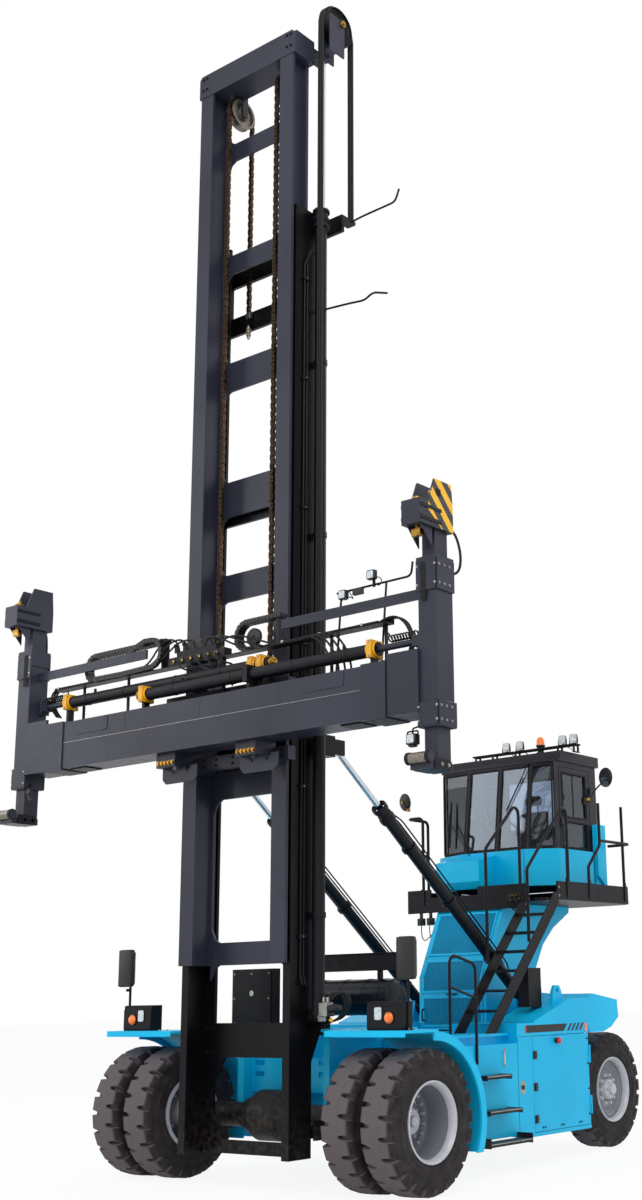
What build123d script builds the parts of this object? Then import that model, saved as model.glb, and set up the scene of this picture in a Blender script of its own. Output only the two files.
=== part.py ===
from build123d import *
import math
import os

os.makedirs("parts", exist_ok=True)

# X runs to the machine's left, -Y forward and Z up, with the ground at z = 0. Millimetres.
# Sizes along Y are measured from the front axle, which stands at axle_y.
axle_y = -1971
seat_gap = 0.3
slide_gap = 6

# wheels and axles
wheelbase = 4650
tyre_r = 672
tyre_w = 375
lug_depth = 36
lug_count = 22
sidewall_in = 16
rim_r = 355
rim_wall = 24
rim_lip = 30
dual_gap = 110
front_tyre_x = 2050
steer_tyre_x = 1260
kingpin_x = 760
kingpin_h = 180
kingpin_r = 60
spindle_r = 55
hub_r = 140
front_disc_x = 1600
disc_t = 40
hub_end_x = 1840
axle_tube_r = 120
axle_case_r = 250
axle_end_x = 1100
steer_disc_x = 1095
beam_half = 640
beam_depth = 220
beam_h = 230
yoke_t = 50

# chassis
side_x = 1450
door_t = 40
box_low_z = 340
box_top_z = 1380
locker_low_z = 300
locker_top_z = 1505
locker_strip = 300
locker_band = 140
locker_sill = 40
step_top_z = 1300
step_ledge = 150
side_front_y = 950
steer_clear = 850
locker_len = 1490
hinge_r = 12
belly_half = 470
belly_low_z = 520
belly_top_z = 1000
rail_in = 330
rail_w = 190
rail_top_z = 1420
frame_front_y = 420
mast_plate_x = 560
mast_plate_t = 80
mast_plate_top_z = 1489
deck_t = 30
deck_in = 540
spine_half = 140
spine_low_z = 1000
weight_half = 430
weight_rear = 590
weight_top_z = 1850
wing_top_z = 1810
wing_in = 930
lug_hole_r = 25
lug_t = 40
tow_pin_r = 22

# front fenders
fender_x = 2080
fender_in = 960
fender_z = 1515
fender_t = 25
fender_front_y = -450
arch_r = 825
arch_in = 1170

# tank between the rails
tank_half = 560
tank_shift = 80
tank_r = 190
tank_y = 1200
tank_z = 1820

# engine and pedestal
engine_half = 320
engine_len = 1100
engine_h = 395
ped_half = 500
ped_front = 1570
ped_lean = 430

# platform and cab
deck_z = 2930
floor_t = 28
toe_h = 190
toe_t = 20
platform_front = 1210
platform_rear = 580
cab_front = 700
cab_len = 1200
cab_half = 890
cab_lean = 150
cab_pillar = 190
cab_wall = 45
pane_t = 6
base_low_h = 195
base_h = 455
base_out = 60
base_wall = 40
base_floor_t = 45
cab_h = 1150
horn_h = 360
nose_left = 120
nose_w = 670
nose_len = 380
nose_h = 325
nose_drop = 70
door_rear = 310
door_w = 708
door_gap = 14
frame_t = 35
roof_box_h = 115
rail_r = 19
hoop_r = 16
seat_w = 520
wheel_ring_r = 200

# stairs
stair_gap = 120
stair_w = 440
stringer_t = 15
tread_w = 180
tread_t = 25
tread_count = 6

# mast
mast_half = 762
outer_front_y = -606
outer_rear_y = -287
outer_low_z = 320
mast_len = 10180
side_wall = 40
lip_t = 36
front_lip_w = 54
rear_lip_w = 162
lift_now = 1850
inner_extra = 80
inner_front_y = -674
column_in = 550
column_w = 200
column_t = 40
web_x = 600
rear_flange_x = 712
rear_flange_y = -360
beam_z_h = 300
lift_x = 862
lift_y = -300
lift_foot_z = 1630
lift_bore_r = 52
lift_barrel_r = 66
lift_head_r = 80
lift_head_h = 220
lift_rod_r = 45
chain_x = 390
chain_w = 50
chain_t = 36
chain_anchor = 900
sheave_y = -360
sheave_drop = 205
sheave_r = 173
sheave_w = 100
hose_x = 950
hose_y = -150
hose_lift = 230
hose_wheel_r = 250
hose_wheel_w = 70
hose_r = 13
hose_pitch = 30

# tilt linkage
tilt_x = 780
tilt_top = (50, 4370)
tilt_low = (wheelbase - 1150, 1700)
mast_foot = (-215, 560)
foot_pin_r = 40
tilt_pin_r = 33
tilt_eye_r = 90
tilt_hole_r = 41
fork_half = 51
fork_t = 29
tilt_barrel_r = 68
tilt_rod_r = 40
tilt_show = 1012
tilt_inside = 750
tilt_neck = 190

# carriage and spreader
carriage_low_z = 4150
carriage_h = 850
carriage_half = 900
carriage_plate_x = 480
tube_half = 2466
tube_low_z = 4335
tube_h = 515
tube_front_y = -1170
tube_depth = 360
tube_wall = 20
beam_wall = 14
beam_w = 148
arm_travel = 3050
leg_x = 2945
leg_y = -1020
sleeve_w = 210
sleeve_d = 250
sleeve_low_z = 4180
sleeve_h = 1610
leg_wall = 24
leg_low_z = 3850
leg_top_z = 6050
head_half = 110
head_t = 240
lock_y = -1280
lock_r = 25
head_l = 100
head_w = 56
head_h = 70
foot_roller_r = 50
barrel_r = 65
rod_r = 32
push_a = (-950, 5130)
push_b = (-1050, 5020)
tie_y = -1020
tie_z = 5430
tie_h = 100
tray_y = -900
tray_z = 5300
loop_w = 90
loop_h = 340

side_rear_y = wheelbase - steer_clear
locker_front_y = side_rear_y - locker_len
body_x = side_x - door_t - slide_gap
hub_z = tyre_r
deck_low_z = box_top_z + seat_gap
deck_top_z = deck_low_z + deck_t
outer_top_z = outer_low_z + mast_len
inner_low_z = outer_low_z + lift_now
inner_top_z = outer_top_z + lift_now + inner_extra
sheave_z = inner_top_z - sheave_drop
beam_low_z = inner_top_z
beam_top_z = beam_low_z + beam_z_h
hose_z = beam_top_z + hose_lift
anchor_z = outer_top_z - chain_anchor
carriage_top_z = carriage_low_z + carriage_h
tube_rear_y = tube_front_y + tube_depth
tube_top_z = tube_low_z + tube_h
sleeve_top_z = sleeve_low_z + sleeve_h
stair_x = tilt_x + stair_gap
walk_x = stair_x + stair_w - 10
platform_front_y = wheelbase - platform_front
platform_rear_y = wheelbase + platform_rear
cab_front_y = wheelbase - cab_front
cab_rear_y = cab_front_y + cab_len
base_low_z = deck_z + base_low_h
base_top_z = base_low_z + base_h
shell_low_z = base_low_z + base_floor_t + seat_gap
cab_floor_z = shell_low_z + cab_wall
cab_top_z = base_top_z + cab_h
door_rear_y = wheelbase + door_rear
door_front_y = door_rear_y - door_w
base_x = cab_half + base_out
ped_front_y = wheelbase - ped_front
wing_slope = (wing_top_z - locker_top_z - 65) / 750


def block(x0, x1, y0, y1, z0, z1, mode=Mode.ADD):
    with Locations(((x0 + x1) / 2, axle_y + (y0 + y1) / 2, (z0 + z1) / 2)):
        Box(abs(x1 - x0), abs(y1 - y0), abs(z1 - z0), mode=mode)


def prism_x(points, x0, x1, mode=Mode.ADD):
    with BuildSketch(Plane.YZ.offset(x0)) as outline:
        with BuildLine():
            Polyline(*[(axle_y + y, z) for y, z in points], close=True)
        make_face()
    extrude(outline.sketch, amount=x1 - x0, mode=mode)


def prism_y(points, y0, y1, mode=Mode.ADD):
    with BuildSketch(Plane.XZ.offset(-(axle_y + y0))) as outline:
        with BuildLine():
            Polyline(*points, close=True)
        make_face()
    extrude(outline.sketch, amount=-(y1 - y0), mode=mode)


def prism_z(points, z0, z1, mode=Mode.ADD):
    with BuildSketch(Plane.XY.offset(z0)) as outline:
        with BuildLine():
            Polyline(*[(x, axle_y + y) for x, y in points], close=True)
        make_face()
    extrude(outline.sketch, amount=z1 - z0, mode=mode)


def bar(start, end, radius, mode=Mode.ADD):
    a = Vector(start[0], axle_y + start[1], start[2])
    b = Vector(end[0], axle_y + end[1], end[2])
    with Locations(Plane(origin=a, z_dir=b - a)):
        Cylinder(radius, (b - a).length, align=(Align.CENTER, Align.CENTER, Align.MIN), mode=mode)


def tube(points, radius, bend):
    with BuildLine() as path:
        FilletPolyline(*[(x, axle_y + y, z) for x, y, z in points], radius=bend)
    with BuildSketch(Plane(origin=path.line @ 0, z_dir=path.line % 0)) as section:
        Circle(radius)
    sweep(section.sketch, path=path.line)


def ring_x(profile, y, z, mode=Mode.ADD):
    with BuildSketch(Plane(origin=(0, axle_y + y, z), x_dir=(1, 0, 0), z_dir=(0, -1, 0))) as outline:
        with BuildLine():
            Polyline(*profile, close=True)
        make_face()
    revolve(outline.sketch, axis=Axis((0, axle_y + y, z), (1, 0, 0)), mode=mode)


def tyre(x0, x1, y, z):
    bore_r = (rim_r + seat_gap) / math.cos(math.pi / lug_count)
    base_r = tyre_r - lug_depth
    pitch = 360 / lug_count
    tip_r = tyre_r / math.cos(math.radians(pitch / 4))
    rings = []
    for x, r in ((x0, rim_r + 150), (x0 + sidewall_in, base_r - 4), (x1 - sidewall_in, base_r - 4),
                 (x1, rim_r + 150)):
        with BuildSketch(Plane.YZ.offset(x)) as ring:
            with Locations((axle_y + y, z)):
                RegularPolygon(r, lug_count)
        rings.append(ring.sketch)
    loft(rings, ruled=True)
    mid = (x0 + x1) / 2
    for row, (a, b) in enumerate(((x0 + sidewall_in, mid), (mid, x1 - sidewall_in))):
        points = []
        for i in range(lug_count):
            for r, turn in ((base_r, -0.30), (tip_r, -0.25), (tip_r, 0.25), (base_r, 0.30)):
                angle = math.radians((i + turn + row / 2) * pitch)
                points.append((y + r * math.cos(angle), z + r * math.sin(angle)))
        prism_x(points, a, b)
    with BuildSketch(Plane.YZ.offset(x0)) as bore:
        with Locations((axle_y + y, z)):
            RegularPolygon(bore_r, lug_count)
    extrude(bore.sketch, amount=x1 - x0, mode=Mode.SUBTRACT)


def pane(low, high, z0, z1, margin, near, far, mode=Mode.ADD):
    rings = []
    for z in (z0, z1):
        t = (z - base_top_z) / cab_h
        a = Vector(*low[0]) + (Vector(*high[0]) - Vector(*low[0])) * t
        b = Vector(*low[1]) + (Vector(*high[1]) - Vector(*low[1])) * t
        along = (b - a).normalized()
        inward = Vector(-along.Y, along.X)
        corners = [a + along * margin + inward * near, b - along * margin + inward * near,
                   b - along * margin + inward * far, a + along * margin + inward * far]
        with BuildSketch(Plane.XY.offset(z)) as ring:
            with BuildLine():
                Polyline(*[(c.X, axle_y + c.Y) for c in corners], close=True)
            make_face()
        rings.append(ring.sketch)
    loft(rings, ruled=True, mode=mode)


def save(builder, name):
    builder.part.label = name
    export_step(builder.part, "parts/" + name + ".step")


sides = (("left", 1), ("right", -1))

with BuildPart() as chassis_frame:
    for s in (-1, 1):
        block(s * belly_half, s * (side_x - step_ledge), side_front_y, locker_front_y + 20, box_low_z,
              box_top_z)
        block(s * (side_x - step_ledge - 10), s * side_x, side_front_y, locker_front_y + 20, box_low_z,
              step_top_z)
        block(s * belly_half, s * body_x, locker_front_y, side_rear_y, locker_low_z + 20, box_top_z)
        block(s * (body_x - 10), s * side_x, locker_front_y, locker_front_y + locker_strip, locker_low_z,
              locker_top_z)
        block(s * (body_x - 10), s * side_x, locker_front_y, side_rear_y, locker_top_z - locker_band,
              locker_top_z)
        block(s * (body_x - 10), s * side_x, locker_front_y, side_rear_y, locker_low_z,
              locker_low_z + locker_sill)
        block(s * deck_in, s * body_x, locker_front_y, side_rear_y, box_top_z, locker_top_z)
        block(s * rail_in, s * (rail_in + rail_w), frame_front_y, side_rear_y, belly_top_z, rail_top_z)
        block(s * mast_plate_x, s * (mast_plate_x + mast_plate_t), axle_tube_r + seat_gap, side_front_y + 20,
              540, mast_plate_top_z)
        block(s * rail_in, s * (mast_plate_x + 10), frame_front_y, frame_front_y + 80, 540, rail_top_z)
        block(s * mast_plate_x, s * 780, 250, 275, 740, 1220)
        for z0 in (locker_low_z + 160, locker_top_z - 380):
            block(s * (body_x - 20), s * (side_x + 6), side_rear_y - 5, side_rear_y + hinge_r, z0, z0 + 100)
            with Locations((s * (side_x + 6), axle_y + side_rear_y + 6, z0 + 50)):
                Cylinder(hinge_r, 100)
    block(-belly_half, belly_half, frame_front_y, side_rear_y, belly_low_z, belly_top_z)
    block(-mast_plate_x, mast_plate_x, 250, 275, 880, 1220)
    for s in (-1, 1):
        for z0 in (1035, 1150):
            block(s * 380, s * 520, 240, 285, z0, z0 + 50, mode=Mode.SUBTRACT)
    block(30 - weight_half, weight_half - 30, side_rear_y - 60, wheelbase + 250, rail_top_z - 50, rail_top_z)
    block(-spine_half, spine_half, side_rear_y - 20, wheelbase + 200, spine_low_z, rail_top_z - 40)
    for s in (-1, 1):
        for x0 in (tilt_x - fork_half - fork_t, tilt_x + fork_half):
            prism_x([(tilt_low[0] - 160, locker_top_z - 5), (tilt_low[0] - 80, tilt_low[1] + 60),
                     (tilt_low[0] + 60, tilt_low[1] + 80), (tilt_low[0] + 190, locker_top_z - 5)],
                    s * x0, s * (x0 + fork_t))
        bar((s * (tilt_x - fork_half - fork_t), *tilt_low), (s * (tilt_x + fork_half + fork_t), *tilt_low),
            tilt_pin_r)
save(chassis_frame, "chassis_frame")

for side, s in sides:
    with BuildPart() as locker:
        block(s * (side_x - door_t), s * side_x, locker_front_y + locker_strip + slide_gap, side_rear_y - 10,
              locker_low_z + locker_sill + slide_gap, locker_top_z - locker_band - slide_gap)
        for z0 in (locker_low_z + 260 + seat_gap, locker_top_z - 480 - seat_gap):
            block(s * (side_x - 20), s * (side_x + 6), side_rear_y - 20, side_rear_y + 4, z0, z0 + 100)
            with Locations((s * (side_x + 6), axle_y + side_rear_y + 6, z0 + 50)):
                Cylinder(hinge_r, 100)
    save(locker, "locker_door_" + side)

with BuildPart() as deck_plates:
    for s in (-1, 1):
        block(s * deck_in, s * (stair_x + stair_w + 5), side_front_y + 20 + seat_gap,
              locker_front_y - slide_gap, deck_low_z, deck_top_z)
save(deck_plates, "deck_plates")

with BuildPart() as counterweight:
    low = rail_top_z + seat_gap
    prism_x([(side_rear_y - 40, low), (wheelbase + 260, low), (wheelbase + 260, low - 55),
             (wheelbase + weight_rear, low - 55),
             (wheelbase + weight_rear, weight_top_z - 210), (wheelbase + weight_rear - 160,
                                                             weight_top_z - 70),
             (wheelbase - 550, weight_top_z), (side_rear_y - 40,
                                               weight_top_z - 60)], -weight_half, weight_half)
    for s in (-1, 1):
        prism_x([(side_rear_y, locker_top_z + seat_gap), (side_rear_y, wing_top_z - 50),
                 (side_rear_y + 130, wing_top_z),
                 (wheelbase - 150, wing_top_z - 80), (wheelbase - 130,
                                                      wing_top_z - 280), (wheelbase - 300, box_top_z + 40),
                 (wheelbase - 490, box_top_z - 15), (side_rear_y + 60,
                                                     box_top_z - 15), (side_rear_y + 20, box_top_z + 20)],
                s * (weight_half - 20), s * side_x)
        prism_x([(wheelbase - 1990, locker_top_z + seat_gap), (wheelbase - 1990, locker_top_z + 15),
                 (wheelbase - 1240, locker_top_z + 15 + 750 * wing_slope), (side_rear_y + 10, wing_top_z - 50),
                 (side_rear_y + 10, locker_top_z + seat_gap)], s * wing_in, s * side_x)
        prism_x([(wheelbase - 1470, 1640), (wheelbase - 1440, 1840), (wheelbase - 1395, 1910),
                 (wheelbase - 1305, 1910),
                 (wheelbase - 1260, 1840), (wheelbase - 1230,
                                            1700)], s * (side_x - 90 - lug_t), s * (side_x - 90))
        bar((s * (side_x - 160), wheelbase - 1350, 1855), (s * (side_x - 60), wheelbase - 1350, 1855),
            lug_hole_r,
            mode=Mode.SUBTRACT)
    block(-90, 90, wheelbase + weight_rear - 110, wheelbase + weight_rear + 10, 1455, 1535,
          mode=Mode.SUBTRACT)
    with Locations((0, axle_y + wheelbase + weight_rear - 50, 1500)):
        Cylinder(tow_pin_r, 130)
save(counterweight, "counterweight")

with BuildPart() as front_axle:
    ring_x([(-axle_end_x, 0), (-axle_end_x, axle_tube_r), (-420, axle_tube_r), (-150, axle_case_r),
            (150, axle_case_r),
            (420, axle_tube_r), (axle_end_x, axle_tube_r), (axle_end_x, 0)], 0, hub_z)
    for s in (-1, 1):
        block(s * (mast_half + slide_gap), s * (mast_half + 44), mast_foot[0] - 50, 0, mast_foot[1] - 80,
              hub_z)
        bar((s * (mast_half - 38), *mast_foot), (s * (mast_half + 20), *mast_foot), foot_pin_r)
save(front_axle, "front_axle")

with BuildPart() as rear_axle:
    block(-beam_half, beam_half, wheelbase - beam_depth / 2, wheelbase + beam_depth / 2, hub_z - beam_h / 2,
          hub_z + beam_h / 2)
    block(-130, 130, wheelbase - 200, wheelbase + 200, hub_z + beam_h / 2, spine_low_z - seat_gap)
    for s in (-1, 1):
        for z0 in (hub_z - kingpin_h / 2 - seat_gap - yoke_t, hub_z + kingpin_h / 2 + seat_gap):
            block(s * (beam_half - 10), s * (kingpin_x + 70), wheelbase - 90, wheelbase + 90, z0, z0 + yoke_t)
save(rear_axle, "rear_axle")

for side, s in sides:
    with BuildPart() as knuckle:
        with Locations((s * kingpin_x, axle_y + wheelbase, hub_z)):
            Cylinder(kingpin_r, kingpin_h)
        bar((s * kingpin_x, wheelbase, hub_z), (s * (steer_disc_x - seat_gap), wheelbase, hub_z), spindle_r)
    save(knuckle, "knuckle_" + side)
    with BuildPart() as rear_tyre:
        a, b = sorted((s * steer_tyre_x, s * (steer_tyre_x - tyre_w)))
        tyre(a, b, wheelbase, hub_z)
    save(rear_tyre, "tyre_rear_" + side)
    with BuildPart() as rear_rim:
        a, b = s * (steer_tyre_x - tyre_w + 8), s * (steer_tyre_x - rim_lip)
        c, d = s * steer_disc_x, s * (steer_disc_x + 30)
        ring_x([(a, rim_r - rim_wall), (a, rim_r), (b, rim_r), (b, rim_r - rim_wall)], wheelbase, hub_z)
        ring_x([(c, 0), (c, rim_r - 20), (d, rim_r - 20), (d, hub_r - 20), (d + s * 60, hub_r - 30),
                (d + s * 60, 0)],
               wheelbase, hub_z)
    save(rear_rim, "rim_rear_" + side)
    with BuildPart() as front_tyres:
        for outer in (front_tyre_x, front_tyre_x - tyre_w - dual_gap):
            a, b = sorted((s * outer, s * (outer - tyre_w)))
            tyre(a, b, 0, hub_z)
    save(front_tyres, "tyres_front_" + side)
    with BuildPart() as front_rims:
        a, b = s * (front_tyre_x - 2 * tyre_w - dual_gap + 8), s * (front_tyre_x - rim_lip)
        c, d, e = s * front_disc_x, s * (front_disc_x + disc_t), s * hub_end_x
        ring_x([(a, rim_r - rim_wall), (a, rim_r), (b, rim_r), (b, rim_r - rim_wall)], 0, hub_z)
        ring_x([(s * (axle_end_x + seat_gap), 0), (s * (axle_end_x + seat_gap), hub_r), (c, hub_r),
                (c, rim_r - 20),
                (d, rim_r - 20), (d, hub_r + 20), (e - s * 60,
                                                   hub_r + 20), (e, hub_r - 30), (e, 0)], 0, hub_z)
    save(front_rims, "rims_front_" + side)

with BuildPart() as fenders:
    for s in (-1, 1):
        prism_z([(s * fender_in, 60), (s * fender_in, fender_front_y + 200),
                 (s * (fender_in + 120), fender_front_y),
                 (s * fender_x, fender_front_y), (s * fender_x, 60)], fender_z - fender_t, fender_z)
        block(s * (mast_plate_x + 5), s * (arch_in + 10), 40, side_front_y - 60, fender_z - fender_t,
              fender_z)
        block(s * (mast_plate_x + mast_plate_t + seat_gap), s * (arch_in + 10), side_front_y - 90,
              side_front_y - 60,
              deck_top_z, fender_z - 10)
        block(s * (fender_in + 120), s * fender_x, fender_front_y - 6, fender_front_y, fender_z - 55,
              fender_z)
        with BuildSketch(Plane.YZ.offset(s * arch_in)) as arch:
            with Locations((axle_y, hub_z)):
                Circle(arch_r)
                Circle(arch_r - fender_t, mode=Mode.SUBTRACT)
            with Locations((axle_y - 1000, hub_z)):
                Rectangle(2000, 2200, mode=Mode.SUBTRACT)
            with Locations((axle_y + 500, hub_z - 930)):
                Rectangle(1200, 1200, mode=Mode.SUBTRACT)
        extrude(arch.sketch, amount=s * (fender_x - arch_in))
        with BuildSketch(Plane.YZ.offset(s * (fender_x - fender_t))) as lip:
            with Locations((axle_y, hub_z)):
                Circle(arch_r)
                Circle(arch_r - 85, mode=Mode.SUBTRACT)
            with Locations((axle_y - 1000, hub_z)):
                Rectangle(2000, 2200, mode=Mode.SUBTRACT)
            with Locations((axle_y + 500, hub_z - 930)):
                Rectangle(1200, 1200, mode=Mode.SUBTRACT)
        extrude(lip.sketch, amount=s * fender_t)
save(fenders, "front_fenders")

with BuildPart() as pedestal:
    low = rail_top_z + seat_gap
    top = deck_z - floor_t - seat_gap
    outline = [(ped_front_y, low), (ped_front_y, 2030), (ped_front_y + ped_lean, top), (wheelbase + 345, top),
               (wheelbase + 330, 2830), (wheelbase - 50,
                                         2630), (wheelbase - 300, 2420), (wheelbase - 480, 2130),
               (wheelbase - 540, weight_top_z + 10), (side_rear_y - 42,
                                                      weight_top_z + 10), (side_rear_y - 42, low)]
    prism_x(outline, -ped_half, ped_half)
    for z0, z1 in ((1470, 1800), (1860, 2230), (2300, 2800)):
        rise = ped_lean / (top - 2030)
        y0 = ped_front_y + max(0, z0 - 2030) * rise
        y1 = ped_front_y + max(0, z1 - 2030) * rise
        prism_x([(y0 - 60, z0), (y0 + 16, z0), (y1 + 16, z1), (y1 - 60, z1)], -ped_half + 60, ped_half - 60,
                mode=Mode.SUBTRACT)
        for i in range(int((z1 - z0) / 36)):
            z = z0 + 6 + 36 * i
            y = ped_front_y + max(0, z - 2030) * rise
            prism_x([(y + 2, z), (y + 18, z), (y + 18, z + 26)], -ped_half + 60, ped_half - 60)
save(pedestal, "pedestal")

with BuildPart() as engine:
    block(-engine_half, engine_half, wheelbase - 1250 - engine_len, wheelbase - 1250, belly_top_z + seat_gap,
          belly_top_z + engine_h)
save(engine, "engine_block")

with BuildPart() as platform:
    low = deck_z - floor_t
    prism_z([(-base_x, platform_front_y), (walk_x, platform_front_y), (walk_x, platform_rear_y - 120),
             (walk_x - 120, platform_rear_y), (-base_x, platform_rear_y)], low, deck_z)
    prism_z([(-base_x, platform_front_y), (-base_x + toe_t, platform_front_y),
             (-base_x + toe_t, platform_rear_y - toe_t),
             (walk_x - 128, platform_rear_y - toe_t), (walk_x - toe_t, platform_rear_y - 128),
             (walk_x - toe_t, platform_front_y), (walk_x, platform_front_y), (walk_x, platform_rear_y - 120),
             (walk_x - 120, platform_rear_y), (-base_x, platform_rear_y)], deck_z - 10, deck_z + toe_h)
    block(-base_x, stair_x - 10, platform_front_y, platform_front_y + toe_t, low - 70, deck_z + 90)
    block(nose_left + 30, stair_x - 10, platform_front_y, platform_front_y + toe_t, low - 10, deck_z + toe_h)
    block(-base_x, -nose_w + nose_left - 30, platform_front_y, platform_front_y + toe_t, low - 10,
          deck_z + toe_h)
    for x in (-base_x + 160, base_x - 160):
        for y in (cab_front_y + 330, cab_rear_y - 120):
            with Locations((x, axle_y + y, deck_z - 10)):
                Cylinder(60, base_low_h + 10 - seat_gap, align=(Align.CENTER, Align.CENTER, Align.MIN))
save(platform, "platform")

front_low = ((-cab_half, cab_front_y + cab_pillar + 20), (-400, cab_front_y), (100, cab_front_y),
             (570, cab_front_y),
             (cab_half, cab_front_y + cab_pillar))
front_high = ((-cab_half, cab_front_y + cab_pillar + 20), (-400, cab_front_y + cab_lean),
              (100, cab_front_y + cab_lean),
              (570, cab_front_y + cab_lean), (cab_half, cab_front_y + cab_pillar))
rear_pair = ((cab_half, cab_rear_y), (-cab_half, cab_rear_y))


def cab_ring(points, z, inset):
    with BuildSketch(Plane.XY.offset(z)) as ring:
        with BuildLine():
            Polyline(*[(x, axle_y + y) for x, y in points], close=True)
        make_face()
        if inset:
            offset(amount=-inset, kind=Kind.INTERSECTION)
    return ring.sketch


def cab_body(grow, z0, z1, mode=Mode.ADD):
    low = [front_low[0], front_low[1], front_low[3], front_low[4], *rear_pair]
    high = [front_high[0], front_high[1], front_high[3], front_high[4], *rear_pair]
    loft([cab_ring(low, z0, grow), cab_ring(low, base_top_z, grow)], ruled=True, mode=mode)
    t = (z1 - base_top_z) / cab_h
    cut = [(a[0] + (b[0] - a[0]) * t, a[1] + (b[1] - a[1]) * t) for a, b in zip(low, high)]
    loft([cab_ring(low, base_top_z, grow), cab_ring(cut, z1, grow)], ruled=True, mode=mode)


side_wall_left = ((cab_half, door_front_y), (cab_half, door_rear_y))
side_wall_right = ((-cab_half, cab_rear_y - 60), (-cab_half, cab_front_y + cab_pillar + 60))
windows = [(front_low[i:i + 2], front_high[i:i + 2], base_top_z + 20, cab_top_z - 70, 18) for i in range(4)]
windows.append((side_wall_right, side_wall_right, base_top_z + 30, cab_top_z - 120, 20))
windows.append((rear_pair, rear_pair, base_top_z + horn_h + 40, cab_top_z - 120, 80))

with BuildPart() as cab_base:
    outer = [(-base_x, cab_front_y + cab_pillar), (-430, cab_front_y - 50), (595, cab_front_y - 50),
             (base_x, cab_front_y + cab_pillar - 30), (base_x, cab_rear_y + 45), (-base_x, cab_rear_y + 45)]
    loft([cab_ring(outer, base_low_z, 0), cab_ring(outer, base_top_z, 0)], ruled=True)
    loft([cab_ring(outer, base_low_z + base_floor_t, base_wall), cab_ring(outer, base_top_z, base_wall)],
         ruled=True,
         mode=Mode.SUBTRACT)
    for s in (-1, 1):
        prism_x([(wheelbase - 80, base_top_z - 5), (wheelbase + 120, base_top_z + 110),
                 (wheelbase + 280, base_top_z + horn_h),
                 (cab_rear_y + 45, base_top_z + horn_h), (cab_rear_y + 45, base_top_z - 5)],
                s * (base_x - base_wall), s * base_x)
        prism_x([(wheelbase + 60, base_top_z - 100), (wheelbase + 290, base_top_z + horn_h),
                 (cab_rear_y + 45, base_top_z + horn_h), (cab_rear_y + 45,
                                                          base_low_z)], s * (base_x - 5), s * (base_x + 32))
    block(-base_x, base_x, cab_rear_y + 5, cab_rear_y + 45, base_top_z - 5, base_top_z + horn_h)
    nose_front_y = cab_front_y - 50 - nose_len
    nose_top = base_low_z + nose_h
    prism_x([(nose_front_y, base_low_z + nose_drop), (nose_front_y, nose_top),
             (cab_front_y - 40, nose_top + 90),
             (cab_front_y - 40, base_low_z), (nose_front_y + 60,
                                              base_low_z - 20)], nose_left - nose_w, nose_left)
    block(cab_half - 10, base_x + 40, door_front_y - door_gap, door_rear_y + 2 * hinge_r + 2,
          base_low_z + base_floor_t,
          base_top_z + horn_h, mode=Mode.SUBTRACT)
save(cab_base, "cab_base")

with BuildPart() as cab_shell:
    cab_body(0, shell_low_z, cab_top_z)
    cab_body(cab_wall, cab_floor_z, cab_top_z - 60, mode=Mode.SUBTRACT)
    for low, high, z0, z1, margin in windows:
        pane(low, high, z0, z1, margin, -60, cab_wall + 60, mode=Mode.SUBTRACT)
    pane(side_wall_left, side_wall_left, cab_floor_z, cab_top_z - 90, -door_gap, -60, cab_wall + 20,
         mode=Mode.SUBTRACT)
    block(-cab_half + 30, cab_half + 20, cab_front_y + 330, cab_rear_y + 60, cab_top_z - 5,
          cab_top_z + roof_box_h)
    block(-cab_half, cab_half + 20, cab_front_y + 250, cab_rear_y + 60, cab_top_z - 20, cab_top_z)
    for z in (cab_floor_z + 300, cab_top_z - 400):
        block(cab_half - 30, cab_half + 20, door_rear_y + slide_gap + 8, door_rear_y + 60, z, z + 90)
        with Locations((base_x + 5 - base_out + 20, axle_y + door_rear_y + slide_gap, z + 45)):
            Cylinder(hinge_r, 90)
save(cab_shell, "cab_shell")

with BuildPart() as cab_glass:
    for low, high, z0, z1, margin in windows:
        pane(low, high, z0 + 2, z1 - 2, margin + seat_gap, 12, 12 + pane_t)
save(cab_glass, "cab_glass")

with BuildPart() as cab_door:
    low = base_top_z + 12
    high = cab_top_z - 90 - slide_gap
    block(cab_half - frame_t, cab_half, door_front_y, door_rear_y, cab_floor_z + slide_gap, high)
    block(cab_half - frame_t - 10, cab_half + 10, door_front_y + 70, door_rear_y - 70,
          base_top_z + horn_h + 60, high - 70,
          mode=Mode.SUBTRACT)
    block(cab_half - frame_t - 10, cab_half + 10, door_front_y + 60, door_rear_y - 60, low + 20,
          base_top_z + horn_h,
          mode=Mode.SUBTRACT)
    for z in (cab_floor_z + 300 - 90 - seat_gap, cab_top_z - 400 - 90 - seat_gap):
        block(cab_half - 20, cab_half + 25, door_rear_y - 30, door_rear_y + slide_gap, z, z + 90)
        with Locations((cab_half + 25, axle_y + door_rear_y + slide_gap, z + 45)):
            Cylinder(hinge_r, 90)
    tube([(cab_half, door_front_y + 40, base_top_z + 300),
          (cab_half + 45, door_front_y + 40, base_top_z + 300),
          (cab_half + 45, door_front_y + 40, base_top_z + 480), (cab_half, door_front_y + 40,
                                                                 base_top_z + 480)], 10, 20)
save(cab_door, "cab_door")

with BuildPart() as door_panel:
    block(cab_half + seat_gap, base_x, door_front_y, door_rear_y - 40, base_low_z + base_floor_t + slide_gap,
          base_top_z)
save(door_panel, "door_panel")

with BuildPart() as door_glass:
    for z0, z1, edge in ((base_top_z + horn_h + 60, cab_top_z - 160 - slide_gap, 70),
                         (base_top_z + 32, base_top_z + horn_h, 60)):
        block(cab_half - 24, cab_half - 24 + pane_t, door_front_y + edge + seat_gap,
              door_rear_y - edge - seat_gap,
              z0 + seat_gap, z1 - seat_gap)
save(door_glass, "door_glass")

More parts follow.
